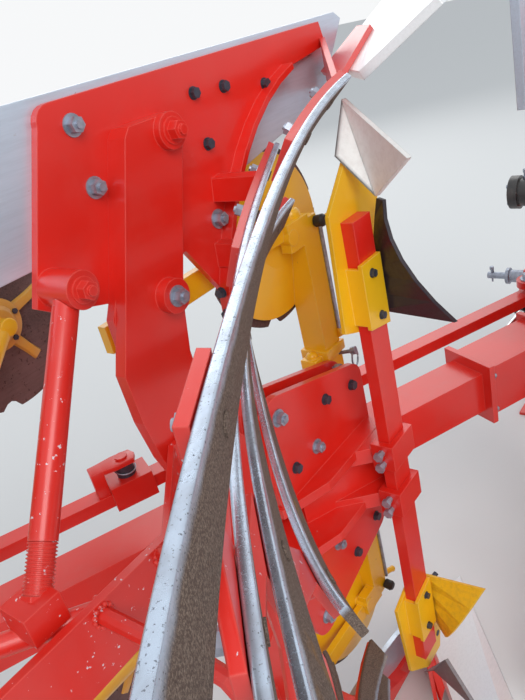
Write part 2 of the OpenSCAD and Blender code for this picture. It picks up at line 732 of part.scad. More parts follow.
module skimmers() {
  p = stalk_c;
  x0 = p[0] - stalk_w / 2 - seat_clear;
  x1 = p[0] + stalk_w / 2 + seat_clear;
  y1 = p[1] + stalk_t / 2 + seat_clear;
  y0 = p[1] - stalk_t / 2 - seat_clear;
  color([0.94, 0.75, 0.08]) both_sides() {
    upright([[-62, 352], [40, 312], [62, 372], [98, 441], [122, 560], [100, 640], [30, 640], [-48, 566]], y1, 8);
    upright([[x0 - 8, 345], [x1, 330], [x1, 470], [x0 - 8, 470]], y0 - 8, 8);
    box([x0 - 8, y0 - 1, 352], [x0, y1 + 1, 462]);
  }
}

module skim_boards() {
  top = [[90, -128, 730], [23, -138, 651], [30, -200, 577], [-16, -290, 649]];
  board_y = stalk_c[1] + stalk_t / 2 - 4;
  color([0.2, 0.18, 0.18]) both_sides() {
    share_plate(top, [for (q = top) q + [-7, 5, 0]]);
    swept([for (i = [0:6]) let (f = i / 6)
      let (a = bez([88, -166, 555], [66, board_y, 455], [62, board_y, 345], f),
        c = bez([84, -180, 552], [-22, -220, 486], [63, -300, 331], f))
      [a, c, c + [-6, 4, 0], a + [-6, 4, 0]]]);
  }
}

// Disc coulters: a square stem on the bracket and a stub to the disc's hub

module coulter_arms(k) {
  c = disc_at(k);
  color([0.94, 0.72, 0.08]) both_sides() if (k == 3) rear_arm(c); else {
    box([stem_x - stem_w / 2, stem_y - stem_w / 2, plate_top + seat_clear],
      [stem_x + stem_w / 2, stem_y + stem_w / 2, c[2] + 20]);
    box([c[0] - 12, stem_y - stem_w / 2, c[2] - stem_w / 2], [stem_x, stem_y - 4, c[2] + stem_w / 2]);
    box([-430, stem_y - 16, c[2] - 2], [c[0], stem_y, c[2] + 42]);
    translate([c[0], 0, c[2]]) rotate([-90, 0, 0]) rotate_extrude()
      polygon([[10, 38], [60, 42], [disc_r - 16, c[1] - 13], [disc_r - 16, c[1] - 9], [60, 46], [10, 46]]);
    cross_pin(c[0], c[2], stem_y - stem_w / 2 - 2, c[1] + disc_t / 2 + 12, 16);
  }
}

// The rear coulter stands on a clamp round the skimmer's stalk
module rear_arm(c) {
  p = stalk_c;
  difference() {
    box([p[0] - stalk_w / 2 - 14, p[1] - stalk_t / 2 - 14, 195],
      [p[0] + stalk_w / 2 + 14, p[1] + stalk_t / 2 + 14, 255]);
    box([p[0] - stalk_w / 2 - seat_clear, p[1] - stalk_t / 2 - seat_clear, 190],
      [p[0] + stalk_w / 2 + seat_clear, p[1] + stalk_t / 2 + seat_clear, 260]);
  }
  rod_between([p[0] + stalk_w / 2 + 14, p[1], 225], [c[0], 40, c[2]], 19);
  cross_pin(c[0], c[2], 22, c[1] + disc_t / 2 + 12, 16);
}

module disc(k, side) {
  c = disc_at(k);
  color([0.4, 0.29, 0.28]) translate([c[0], c[1], side * c[2]]) rotate([-90, 0, 0]) difference() {
    union() {
      translate([0, 0, -disc_t / 2]) linear_extrude(disc_t) notched();
      translate([0, 0, -disc_t / 2 - 9]) cylinder(r = 52, h = disc_t + 18);
    }
    translate([0, 0, -40]) cylinder(r = 16 + run_clear, h = 80);
  }
}

module notched() {
  n = 10;
  polygon([for (i = [0:n - 1]) each let (a = i * 360 / n) [
    for (j = [0:5]) disc_r * [cos(a + 4.4 * j), sin(a + 4.4 * j)],
    (disc_r - 13) * [cos(a + 25.5), sin(a + 25.5)],
    (disc_r - 17) * [cos(a + 29), sin(a + 29)],
    (disc_r - 13) * [cos(a + 32.5), sin(a + 32.5)]]]);
}

beam();
width_rod();
carrier();
width_barrel();
width_piston();
headstock();
link_pins();
turnover_drive();
stand();
wheel_arm();
wheel_rim();
wheel_tyre();
for (k = STATIONS) {
  at_station(k) bracket();
  at_station(k) legs();
  at_station(k) frogs();
  at_station(k) landsides();
  at_station(k) shares();
  at_station(k) slats();
  at_station(k) stays();
  at_station(k) stalk();
  at_station(k) skimmers();
  at_station(k) skim_boards();
  at_station(k) coulter_arms(k);
  at_station(k) disc(k, 1);
  at_station(k) disc(k, -1);
}
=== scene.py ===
"""Moldboard plough: finishes, smooth slats, fasteners, pins, coulter hubs, tyre tread and a plain studio."""

import json
import math

import bmesh
import bpy
import numpy as np
from mathutils import Matrix, Vector


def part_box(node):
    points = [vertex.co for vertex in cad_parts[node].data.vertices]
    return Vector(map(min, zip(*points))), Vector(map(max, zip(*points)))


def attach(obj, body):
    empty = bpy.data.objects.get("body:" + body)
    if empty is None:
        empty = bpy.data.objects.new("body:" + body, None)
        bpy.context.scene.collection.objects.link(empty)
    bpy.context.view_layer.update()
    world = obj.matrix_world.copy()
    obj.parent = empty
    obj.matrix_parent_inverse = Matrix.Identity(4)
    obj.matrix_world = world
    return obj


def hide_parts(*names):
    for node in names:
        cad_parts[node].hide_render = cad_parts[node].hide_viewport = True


bl_info = {
    "name": "Moldboard plough dressing",
    "version": (1, 1, 0),
    "blender": (4, 5, 0),
    "location": "View3D > Sidebar > Plough",
    "description": "Finishes a reversible moldboard plough and sets it in a plain studio",
    "category": "Object",
}

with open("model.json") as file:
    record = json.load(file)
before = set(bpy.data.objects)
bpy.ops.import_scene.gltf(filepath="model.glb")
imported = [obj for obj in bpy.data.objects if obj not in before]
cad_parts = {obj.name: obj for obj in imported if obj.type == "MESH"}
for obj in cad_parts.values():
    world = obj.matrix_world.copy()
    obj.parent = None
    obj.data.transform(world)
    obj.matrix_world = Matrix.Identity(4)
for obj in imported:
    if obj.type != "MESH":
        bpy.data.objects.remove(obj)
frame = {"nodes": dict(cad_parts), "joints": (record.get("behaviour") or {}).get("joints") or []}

MM = 0.001
JOINTS = {joint["name"]: joint for joint in frame["joints"]}
STATIONS = {number: Vector(JOINTS["station_%d_swing" % number]["pos_m"]) for number in (1, 2, 3)}
SIDES = (1, -1)                # upper tools, then their mirror image
SOLE = 860.0                   # height of the beam's middle above the soles, in millimetres
BEAM_ANGLE = math.radians(26.0)


def turns(count):
    """Equal steps once round, as angles."""
    return [2 * math.pi * i / count for i in range(count)]


# Node trees: small helpers

def link(tree, value, socket):
    """Gives a socket another node's output, or a plain value; None leaves it as it is."""
    if isinstance(value, bpy.types.NodeSocket):
        tree.links.new(value, socket)
    elif value is not None:
        socket.default_value = value


def node(tree, kind, values=(), **settings):
    """A new node: its settings, then values or other nodes' outputs on its inputs, by name or number."""
    made = tree.nodes.new(kind)
    for key, value in settings.items():
        setattr(made, key, value)
    for key, value in dict(values).items():
        link(tree, value, made.inputs[key])
    return made


def math_node(tree, operation, first, second=None, third=None, clamp=False):
    values = dict(enumerate((first, second, third)))
    return node(tree, "ShaderNodeMath", values, operation=operation, use_clamp=clamp).outputs[0]


def ramp(tree, value, low, high):
    """Smoothly 0 below low and 1 above high."""
    made = node(tree, "ShaderNodeMapRange", {"From Min": low, "From Max": high, "Value": value},
                interpolation_type="SMOOTHSTEP")
    return made.outputs["Result"]


def mixed(tree, mask, under, over):
    """The colour under where the mask is 0, and the colour over where it is 1."""
    made = node(tree, "ShaderNodeMix", {"Factor": mask}, data_type="RGBA")
    for name, value in (("A", under), ("B", over)):
        socket = [entry for entry in made.inputs if entry.name == name and entry.type == "RGBA"][0]
        link(tree, (*value, 1) if isinstance(value, tuple) else value, socket)
    return [outlet for outlet in made.outputs if outlet.type == "RGBA"][0]


def noise(tree, where, scale, detail=4.0, rough=0.55, stretch=None):
    if stretch:
        where = node(tree, "ShaderNodeMapping", {"Scale": stretch, "Vector": where}).outputs[0]
    values = {"Scale": scale, "Detail": detail, "Roughness": rough, "Vector": where}
    return node(tree, "ShaderNodeTexNoise", values).outputs["Fac"]


def shader_group(name, sockets, outputs):
    tree = bpy.data.node_groups.new(name, "ShaderNodeTree")
    for label, default in sockets:
        socket = tree.interface.new_socket(name=label, in_out="INPUT", socket_type="NodeSocketFloat")
        socket.default_value = default
    for label, kind in outputs:
        tree.interface.new_socket(name=label, in_out="OUTPUT", socket_type=kind)
    where = node(tree, "ShaderNodeTexCoord").outputs["Object"]
    return tree, tree.nodes.new("NodeGroupInput"), tree.nodes.new("NodeGroupOutput"), where


def build_edge_wear():
    """Mask of worn edges, which on the red paints also carries a painted highlight, and the normal of a softly
    rounded edge.
    """
    tree, inputs, outputs, where = shader_group(
        "Edge wear and highlight", [("Radius", 0.003), ("Grain scale", 90.0), ("Reach", 0.5)],
        [("Mask", "NodeSocketFloat"), ("Normal", "NodeSocketVector")])
    wide = node(tree, "ShaderNodeBevel", {"Radius": inputs.outputs["Radius"]}, samples=4)
    flat = node(tree, "ShaderNodeNewGeometry").outputs["Normal"]
    dot = node(tree, "ShaderNodeVectorMath", {0: wide.outputs[0], 1: flat}, operation="DOT_PRODUCT")
    turned = math_node(tree, "SUBTRACT", 1.0, dot.outputs["Value"])
    grain = noise(tree, where, inputs.outputs["Grain scale"], 5.0, 0.5)
    shifted = math_node(tree, "MULTIPLY_ADD", turned, 6.0, grain)
    cut = math_node(tree, "SUBTRACT", shifted, inputs.outputs["Reach"])
    near = ramp(tree, turned, 0.008, 0.04)
    mask = math_node(tree, "MULTIPLY", math_node(tree, "MULTIPLY", cut, 5.0, clamp=True), near)
    link(tree, mask, outputs.inputs["Mask"])
    fine = node(tree, "ShaderNodeBevel", {"Radius": 0.002}, samples=4)
    link(tree, fine.outputs[0], outputs.inputs["Normal"])
    return tree


def build_speckle():
    """Spots: a mask where a fine noise passes a threshold."""
    tree, inputs, outputs, where = shader_group(
        "Speckle", [("Scale", 60.0), ("Threshold", 0.62), ("Softness", 0.05)], [("Mask", "NodeSocketFloat")])
    texture = noise(tree, where, inputs.outputs["Scale"], 6.0, 0.6)
    over = math_node(tree, "SUBTRACT", texture, inputs.outputs["Threshold"])
    spots = math_node(tree, "DIVIDE", over, inputs.outputs["Softness"], clamp=True)
    link(tree, spots, outputs.inputs["Mask"])
    return tree


def build_dust():
    """Dust that lies on faces that look up, broken by noise; on the scuffed red paint its pink colour makes it
    partly a painted sheen on the upward faces.
    """
    tree, inputs, outputs, where = shader_group("Dust", [("Amount", 0.4)], [("Mask", "NodeSocketFloat")])
    apart = node(tree, "ShaderNodeSeparateXYZ", {0: node(tree, "ShaderNodeNewGeometry").outputs["Normal"]})
    up = math_node(tree, "MULTIPLY", apart.outputs["Z"], 0.7, clamp=True)
    base = math_node(tree, "MULTIPLY_ADD", up, 0.55, 0.45)
    mask = math_node(tree, "MULTIPLY", base, ramp(tree, noise(tree, where, 11.0, 7.0, 0.65), 0.42, 0.72))
    settled = math_node(tree, "MULTIPLY", mask, inputs.outputs["Amount"], clamp=True)
    link(tree, settled, outputs.inputs["Mask"])
    return tree


GROUPS = {}


def use_group(tree, group, **values):
    sockets = {key.replace("_", " "): value for key, value in values.items()}
    return node(tree, "ShaderNodeGroup", sockets, node_tree=GROUPS[group])


def blank_material(name):
    material = bpy.data.materials.new(name)
    material.use_nodes = True
    tree = material.node_tree
    where = node(tree, "ShaderNodeTexCoord").outputs["Object"]
    return material, tree, tree.nodes["Principled BSDF"], where


def bump(tree, height, normal, strength, distance=0.0006):
    values = {"Strength": strength, "Distance": distance, "Height": height, "Normal": normal}
    return node(tree, "ShaderNodeBump", values).outputs[0]


# Finishes

def paint(name, lit, deep, edge, chip=(0.45, 0.42, 0.42), reach=1.05, dust=0.2, soft_edges=True,
          dust_and_sheen_color=(0.33, 0.27, 0.22), spots=0.7, spot_scale=75.0):
    """Shop paint with a slight orange peel, edges in their own colour (rubbed wear, and on the red paints
    partly a painted highlight), small chips and settled dust (on the scuffed red partly a painted pink sheen
    on upward faces).
    """
    material, tree, surface, where = blank_material(name)
    edge_wear_and_highlight = use_group(tree, "edge", Radius=0.003, Grain_scale=45.0, Reach=reach)
    chips = use_group(tree, "speckle", Scale=spot_scale, Threshold=spots, Softness=0.02)
    film = use_group(tree, "dust", Amount=dust)
    broad = noise(tree, where, 3.2, 3.0)
    color = mixed(tree, ramp(tree, broad, 0.3, 0.72), lit, deep)
    # dust colour on upward faces; the scuffed red's pink one is partly a painted sheen
    color = mixed(tree, film.outputs["Mask"], color, dust_and_sheen_color)
    # edge colour over the edge mask: rubbed wear, and on the red paints the pink edge is partly a painted
    # highlight
    color = mixed(tree, edge_wear_and_highlight.outputs["Mask"], color, edge)
    color = mixed(tree, chips.outputs["Mask"], color, chip)
    link(tree, color, surface.inputs["Base Color"])
    bare = math_node(tree, "MAXIMUM", edge_wear_and_highlight.outputs["Mask"], chips.outputs["Mask"])
    gloss = math_node(tree, "MULTIPLY_ADD", film.outputs["Mask"], 0.5, 0.34)
    rough = math_node(tree, "ADD", gloss, math_node(tree, "MULTIPLY", bare, 0.18))
    link(tree, rough, surface.inputs["Roughness"])
    surface.inputs["Coat Weight"].default_value = 0.3
    surface.inputs["Coat Roughness"].default_value = 0.16
    peel = noise(tree, where, 160.0, 2.0)
    height = math_node(tree, "SUBTRACT", math_node(tree, "MULTIPLY", peel, 0.25), chips.outputs["Mask"])
    normal = edge_wear_and_highlight.outputs["Normal"] if soft_edges else None
    link(tree, bump(tree, height, normal, 0.25), surface.inputs["Normal"])
    return material


def worn_steel(name, bright, film_color, rust, film_from, film_to, rough=0.26, rust_spots=0.6, metal=0.9,
               streaks=0.8):
    """Soil-scoured steel: a bright ground (on the landside a pale blue, steel lightened and tinted as a
    painted sky reflection), a thin rust film that comes and goes, and fine streaks.
    """
    material, tree, surface, where = blank_material(name)
    broad = noise(tree, where, 4.0, 5.0, 0.6)
    film = ramp(tree, broad, film_from, film_to)
    grit = noise(tree, where, 260.0, 3.0, 0.7)
    lines = noise(tree, where, 18.0, 4.0, 0.6, (1.0, 14.0, 14.0))
    color = mixed(tree, ramp(tree, lines, 0.35, 0.75), bright, tuple(part * streaks for part in bright))
    dirty = mixed(tree, ramp(tree, grit, 0.38, 0.66), film_color, tuple(part * 0.55 for part in film_color))
    color = mixed(tree, film, color, dirty)
    spots = use_group(tree, "speckle", Scale=120.0, Threshold=rust_spots, Softness=0.06)
    color = mixed(tree, spots.outputs["Mask"], color, rust)
    link(tree, color, surface.inputs["Base Color"])
    dull = math_node(tree, "MAXIMUM", math_node(tree, "MULTIPLY", film, 0.8), spots.outputs["Mask"])
    metallic = math_node(tree, "SUBTRACT", metal, math_node(tree, "MULTIPLY", dull, metal))
    link(tree, metallic, surface.inputs["Metallic"])
    uneven = math_node(tree, "MULTIPLY", lines, 0.12)
    uneven = math_node(tree, "ADD", math_node(tree, "MULTIPLY", dull, 0.34), uneven)
    link(tree, math_node(tree, "ADD", uneven, rough - 0.06), surface.inputs["Roughness"])
    normal = use_group(tree, "edge", Radius=0.002).outputs["Normal"]
    link(tree, bump(tree, math_node(tree, "ADD", grit, lines), normal, 0.12), surface.inputs["Normal"])
    return material


def slat_steel(name):
    """Slat finish: a pale blue band along its upper long edge, partly polish and partly a painted sky
    highlight, and rust film with grit over the rest of the face.
    """
    material, tree, surface, where = blank_material(name)
    across = node(tree, "ShaderNodeAttribute", attribute_name="across").outputs["Fac"]
    grit = noise(tree, where, 620.0, 4.0, 0.75)
    broad = noise(tree, where, 8.0, 6.0, 0.65)
    lines = noise(tree, where, 34.0, 3.0, 0.6, (1.0, 1.6, 3.0))
    # colours of the pale blue band: polished steel with a painted sky reflection
    bright = mixed(tree, ramp(tree, lines, 0.3, 0.75), (0.60, 0.70, 0.84), (0.46, 0.51, 0.60))
    film = mixed(tree, ramp(tree, grit, 0.42, 0.68), (0.105, 0.073, 0.060), (0.27, 0.205, 0.165))
    warm = use_group(tree, "speckle", Scale=9.0, Threshold=0.63, Softness=0.08)
    film = mixed(tree, math_node(tree, "MULTIPLY", warm.outputs["Mask"], 0.6), film, (0.30, 0.15, 0.035))
    wander = math_node(tree, "MULTIPLY", math_node(tree, "SUBTRACT", broad, 0.5), 0.8)
    # rust film everywhere except the band along the upper edge, where the painted highlight lies
    covered = ramp(tree, math_node(tree, "ADD", across, wander), -1.0, -0.55)
    pits = use_group(tree, "speckle", Scale=520.0, Threshold=0.6, Softness=0.05)
    color = mixed(tree, covered, bright, film)
    color = mixed(tree, math_node(tree, "MULTIPLY", pits.outputs["Mask"], 0.7), color, (0.05, 0.036, 0.034))
    link(tree, color, surface.inputs["Base Color"])
    rusty = math_node(tree, "MAXIMUM", covered, pits.outputs["Mask"])
    metallic = math_node(tree, "SUBTRACT", 0.85, math_node(tree, "MULTIPLY", rusty, 0.85))
    link(tree, metallic, surface.inputs["Metallic"])
    rough = math_node(tree, "ADD", math_node(tree, "MULTIPLY", rusty, 0.46), 0.26)
    link(tree, rough, surface.inputs["Roughness"])
    surface.inputs["Specular IOR Level"].default_value = 0.1
    height = math_node(tree, "SUBTRACT", math_node(tree, "MULTIPLY", grit, 0.7), pits.outputs["Mask"])
    link(tree, bump(tree, height, None, 0.2, 0.0004), surface.inputs["Normal"])
    return material


SKIM_SHARE_OUT = 0.566         # the skimmers' shares lie further from the beam's height than this


def skimmer_finish(name):
    """Skimmers, told apart by height: the upper shares pale, a painted sky glare, the lower shares dark grey,
    painted shade; a near-black upper board and a yellow lower board.
    """
    material, tree, surface, where = blank_material(name)
    apart = node(tree, "ShaderNodeSeparateXYZ", {0: where})
    upper = math_node(tree, "GREATER_THAN", apart.outputs["Z"], SOLE * MM)
    off = math_node(tree, "ABSOLUTE", math_node(tree, "SUBTRACT", apart.outputs["Z"], SOLE * MM))
    share = math_node(tree, "GREATER_THAN", off, SKIM_SHARE_OUT)
    grain = ramp(tree, noise(tree, where, 90.0, 6.0, 0.65), 0.35, 0.75)
    board = mixed(tree, upper, (0.86, 0.50, 0.012), (0.028, 0.022, 0.03))
    # share colours: the upper shares pale as a painted sky glare, the lower ones dark grey as painted shade
    share_glare_and_shade = mixed(tree, upper, (0.19, 0.17, 0.18), (0.86, 0.86, 0.83))
    color = mixed(tree, share, board, share_glare_and_shade)
    dull = mixed(tree, share, (0.10, 0.06, 0.045), (0.55, 0.50, 0.46))
    color = mixed(tree, math_node(tree, "MULTIPLY", grain, 0.22), color, dull)
    link(tree, color, surface.inputs["Base Color"])
    link(tree, math_node(tree, "MULTIPLY_ADD", grain, 0.3, 0.34), surface.inputs["Roughness"])
    surface.inputs["Specular IOR Level"].default_value = 0.4
    normal = use_group(tree, "edge", Radius=0.002).outputs["Normal"]
    link(tree, bump(tree, grain, normal, 0.15), surface.inputs["Normal"])
    return material


def plain(name, color, rough, metallic=0.0, grain=0.0, scale=120.0):
    material, tree, surface, where = blank_material(name)
    texture = noise(tree, where, scale, 4.0)
    shade = mixed(tree, ramp(tree, texture, 0.35, 0.7), color, tuple(part * 0.72 for part in color))
    link(tree, shade, surface.inputs["Base Color"])
    surface.inputs["Roughness"].default_value = rough
    surface.inputs["Metallic"].default_value = metallic
    if grain:
        link(tree, bump(tree, texture, None, grain), surface.inputs["Normal"])
    return material


MATERIALS = {}


def build_materials(sizes):
    GROUPS.update(edge=build_edge_wear(), speckle=build_speckle(), dust=build_dust())
    red, yellow = tuple(sizes.red), tuple(sizes.yellow)
    deep_red = tuple(part * 0.88 for part in red)
    deep_yellow = (yellow[0] * 0.97, yellow[1] * 0.86, yellow[2])
    # the pink edge colour of the red paints is partly a painted highlight along their edges
    pink, rubbed = (0.80, 0.085, 0.065), (0.74, 0.62, 0.66)
    MATERIALS.update(
        red=paint("Red paint", red, deep_red, pink, dust=0.1, spots=0.74),
        red_soft=paint("Red paint on fittings", red, deep_red, pink, soft_edges=False, dust=0.12),
        # its pink dust colour is partly a painted sheen on the upward faces
        red_scuffed=paint("Scuffed red paint", red, deep_red, pink, rubbed, reach=0.95, dust=0.14, spots=0.65,
                          spot_scale=115.0, dust_and_sheen_color=(0.6, 0.2, 0.18)),
        yellow=paint("Yellow paint", yellow, deep_yellow, (0.9, 0.62, 0.12), (0.14, 0.1, 0.07), dust=0.16,
                     dust_and_sheen_color=(0.5, 0.32, 0.1), spots=0.72),
        black=paint("Black paint", (0.02, 0.02, 0.022), (0.03, 0.03, 0.032), (0.12, 0.11, 0.11), dust=0.3),
        white=paint("White paint", (0.78, 0.78, 0.75), (0.7, 0.7, 0.67), (0.45, 0.4, 0.36), (0.3, 0.2, 0.15),
                    dust=0.35),
        # pale blue ground colour: grey steel lightened and tinted blue as a painted sky reflection
        landside=worn_steel("Landside steel", (0.60, 0.69, 0.80), (0.50, 0.48, 0.48), (0.3, 0.2, 0.14),
                            0.56, 0.85, rust_spots=0.7, metal=0.55, rough=0.36, streaks=0.92),
        share=worn_steel("Share steel", (0.86, 0.87, 0.88), (0.58, 0.53, 0.50), (0.30, 0.20, 0.15),
                         0.7, 0.95, rust_spots=0.74, metal=0.5, rough=0.34, streaks=0.94),
        skimmer=skimmer_finish("Skimmer steel"),
        disc=worn_steel("Disc steel", (0.20, 0.12, 0.115), (0.11, 0.06, 0.055), (0.07, 0.035, 0.03),
                        0.35, 0.62, rough=0.5, metal=0.3),
        slat=slat_steel("Slat steel"),
        zinc=plain("Zinc plate", (0.38, 0.42, 0.50), 0.38, 0.6, 0.1, 90.0),
        dark_bolt=plain("Dark bolt steel", (0.07, 0.08, 0.11), 0.42, 0.5, 0.15),
        knob=plain("Black grip", (0.02, 0.02, 0.02), 0.5),
        chrome=plain("Chromed rod", (0.80, 0.81, 0.83), 0.12, 1.0),
        tyre=plain("Tyre rubber", (0.028, 0.027, 0.026), 0.78, 0.0, 0.35, 60.0),
        hub=paint("Ochre hub paint", (0.80, 0.43, 0.07), (0.66, 0.3, 0.04), (0.5, 0.3, 0.1),
                  (0.2, 0.12, 0.06), dust=0.35, soft_edges=False))


# Meshes

class Shape:
    """Collects simple solids into one mesh, in metres."""

    def __init__(self):
        self.points = []
        self.faces = []

    def add(self, points, faces):
        first = len(self.points)
        self.points += [tuple(point) for point in points]
        self.faces += [tuple(first + i for i in face) for face in faces]

    def loft(self, rings, closed_ends=True):
        count = len(rings[0])
        faces = []
        for i in range(len(rings) - 1):
            for j in range(count):
                after = (j + 1) % count
                faces.append((i * count + j, i * count + after, (i + 1) * count + after, (i + 1) * count + j))
        if closed_ends:
            faces.append(tuple(range(count - 1, -1, -1)))
            faces.append(tuple(range((len(rings) - 1) * count, len(rings) * count)))
        self.add([point for ring in rings for point in ring], faces)

    def turned(self, start, towards, profile, sides=20):
        """A turned solid on the line from start: profile gives (distance along, radius)."""
        start = Vector(start)
        along = (Vector(towards) - start).normalized()
        across = along.orthogonal().normalized()
        upright = along.cross(across)
        circle = [across * math.cos(angle) + upright * math.sin(angle) for angle in turns(sides)]
        self.loft([[start + along * distance + out * max(radius, 1e-5) for out in circle]
                   for distance, radius in profile])

    def bent(self, points, radius, sides=8):
        """A round wire through points."""
        rings = []
        for i, point in enumerate(points):
            run = (points[min(i + 1, len(points) - 1)] - points[max(i - 1, 0)]).normalized()
            across = run.cross(Vector((0.31, 0.17, 0.93))).normalized()
            upright = run.cross(across)
            rings.append([point + (across * math.cos(angle) + upright * math.sin(angle)) * radius
                          for angle in turns(sides)])
        self.loft(rings)

    def block(self, low, high):
        (x0, y0, z0), (x1, y1, z1) = low, high
        self.loft([[(x0, y0, z), (x1, y0, z), (x1, y1, z), (x0, y1, z)] for z in (z0, z1)])

    def prism(self, outline, place, push):
        """An outline of pairs, put in space by place and pushed out along a vector."""
        ring = [Vector(place(along, across)) for along, across in outline]
        self.loft([ring, [point + Vector(push) for point in ring]])

    def lynch_pin(self, at, axis, hang, size):
        """A round pin through a bar with its spring ring folded over the end."""
        at, axis, hang = Vector(at), Vector(axis).normalized(), Vector(hang).normalized()
        self.turned(at - axis * size * 0.55, at, [(0, 0.0035), (size * 1.05, 0.0045), (size * 1.06, 0.009),
                                                  (size * 1.3, 0.009)], 14)
        top = at + axis * size * 0.62
        reach, side = size * 0.42, axis.cross(hang)
        loop = []
        for i in range(22):
            angle = math.pi * (1.93 * i / 21 + 0.035)
            loop.append(top + hang * (reach * (1 - math.cos(angle))) + side * (reach * math.sin(angle)))
        self.bent(loop, 0.0022, 7)


def folded(edge, limit):
    return len(edge.link_faces) == 2 and edge.calc_face_angle(0) > limit


def finish_mesh(obj, bevel):
    """Closes seams, points faces outwards, breaks sharp edges and shades by angle."""
    work = bmesh.new()
    work.from_mesh(obj.data)
    bmesh.ops.remove_doubles(work, verts=work.verts, dist=1e-6)
    bmesh.ops.recalc_face_normals(work, faces=work.faces)
    if bevel:
        sharp = [edge for edge in work.edges if folded(edge, math.radians(40))]
        bmesh.ops.bevel(work, geom=sharp, offset=bevel, offset_type="OFFSET", segments=2, profile=0.5,
                        affect="EDGES", clamp_overlap=True)
    for face in work.faces:
        face.smooth = True
    for edge in work.edges:
        edge.smooth = not folded(edge, math.radians(35))
    work.to_mesh(obj.data)
    work.free()


def new_piece(name, shape, material, body, bevel=0.0):
    mesh = bpy.data.meshes.new(name)
    mesh.from_pydata(shape.points, [], shape.faces)
    obj = bpy.data.objects.new(name, mesh)
    bpy.context.scene.collection.objects.link(obj)
    mesh.materials.append(MATERIALS[material])
    finish_mesh(obj, bevel)
    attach(obj, body)
    return obj


def seed_object(name, points, edges=(), **attributes):
    """Points or lines that a geometry node tree works on."""
    mesh = bpy.data.meshes.new(name)
    mesh.from_pydata([tuple(point) for point in points], list(edges), [])
    for key, values in attributes.items():
        values = np.array(values, dtype=np.float32)
        kind = "FLOAT_VECTOR" if values.ndim == 2 else "FLOAT"
        layer = mesh.attributes.new(key, kind, "POINT")
        layer.data.foreach_set("vector" if values.ndim == 2 else "value", values.ravel())
    obj = bpy.data.objects.new(name, mesh)
    bpy.context.scene.collection.objects.link(obj)
    return obj


def grow(obj, tree, material, body, slot, **values):
    """Runs a geometry node tree on obj once and keeps its result as a plain mesh."""
    modifier = obj.modifiers.new("Grow", "NODES")
    modifier.node_group = TREES[tree]
    sockets = {socket.name: socket.identifier for socket in TREES[tree].interface.items_tree
               if socket.item_type == "SOCKET" and socket.in_out == "INPUT"}
    for key, value in values.items():
        modifier[sockets[key.replace("_", " ")]] = value
    modifier[sockets["Material"]] = MATERIALS[material]
    graph = bpy.context.evaluated_depsgraph_get()
    mesh = bpy.data.meshes.new_from_object(obj.evaluated_get(graph), preserve_all_data_layers=True,
                                           depsgraph=graph)
    obj.modifiers.remove(modifier)
    seed = obj.data
    obj.data = mesh
    bpy.data.meshes.remove(seed)
    mesh.name = obj.name
    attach(obj, body)
    return obj


# Geometry node trees

def new_tree(name, sockets):
    tree = bpy.data.node_groups.new(name, "GeometryNodeTree")
    tree.interface.new_socket(name="Geometry", in_out="INPUT", socket_type="NodeSocketGeometry")
    for label, default in sockets:
        socket = tree.interface.new_socket(name=label, in_out="INPUT", socket_type="NodeSocketFloat")
        socket.default_value = default
    tree.interface.new_socket(name="Material", in_out="INPUT", socket_type="NodeSocketMaterial")
    tree.interface.new_socket(name="Geometry", in_out="OUTPUT", socket_type="NodeSocketGeometry")
    return tree, tree.nodes.new("NodeGroupInput"), tree.nodes.new("NodeGroupOutput")


def end_tree(tree, inputs, outputs, geometry, smooth=True):
    real = node(tree, "GeometryNodeRealizeInstances", {0: geometry})
    shade = node(tree, "GeometryNodeSetShadeSmooth", {"Geometry": real.outputs[0], "Shade Smooth": smooth})
    put = node(tree, "GeometryNodeSetMaterial",
               {"Geometry": shade.outputs[0], "Material": inputs.outputs["Material"]})
    link(tree, put.outputs[0], outputs.inputs[0])


def attribute(tree, name, kind):
    made = node(tree, "GeometryNodeInputNamedAttribute", {"Name": name}, data_type=kind)
    return [outlet for outlet in made.outputs if outlet.enabled and outlet.name == "Attribute"][0]


def drum(tree, sides, radius, depth, lift):
    """A drum of a given depth, which may be a socket, standing at a height above the seat."""
    cylinder = node(tree, "GeometryNodeMeshCylinder", {"Vertices": sides, "Depth": 1.0, "Radius": radius})
    scale = node(tree, "ShaderNodeCombineXYZ", {0: 1.0, 1: 1.0, 2: depth})
    shift = node(tree, "ShaderNodeCombineXYZ", {2: math_node(tree, "MULTIPLY_ADD", depth, 0.5, lift)})
    values = {"Geometry": cylinder.outputs["Mesh"], "Scale": scale.outputs[0], "Translation": shift.outputs[0]}
    return node(tree, "GeometryNodeTransform", values).outputs[0]


# Heads as shares of the width across their flats
WASHER_HEIGHT = 0.1
STUD_RADIUS = 0.3
HEXAGON_RADIUS = 0.577
ROUND_RADIUS = 0.5


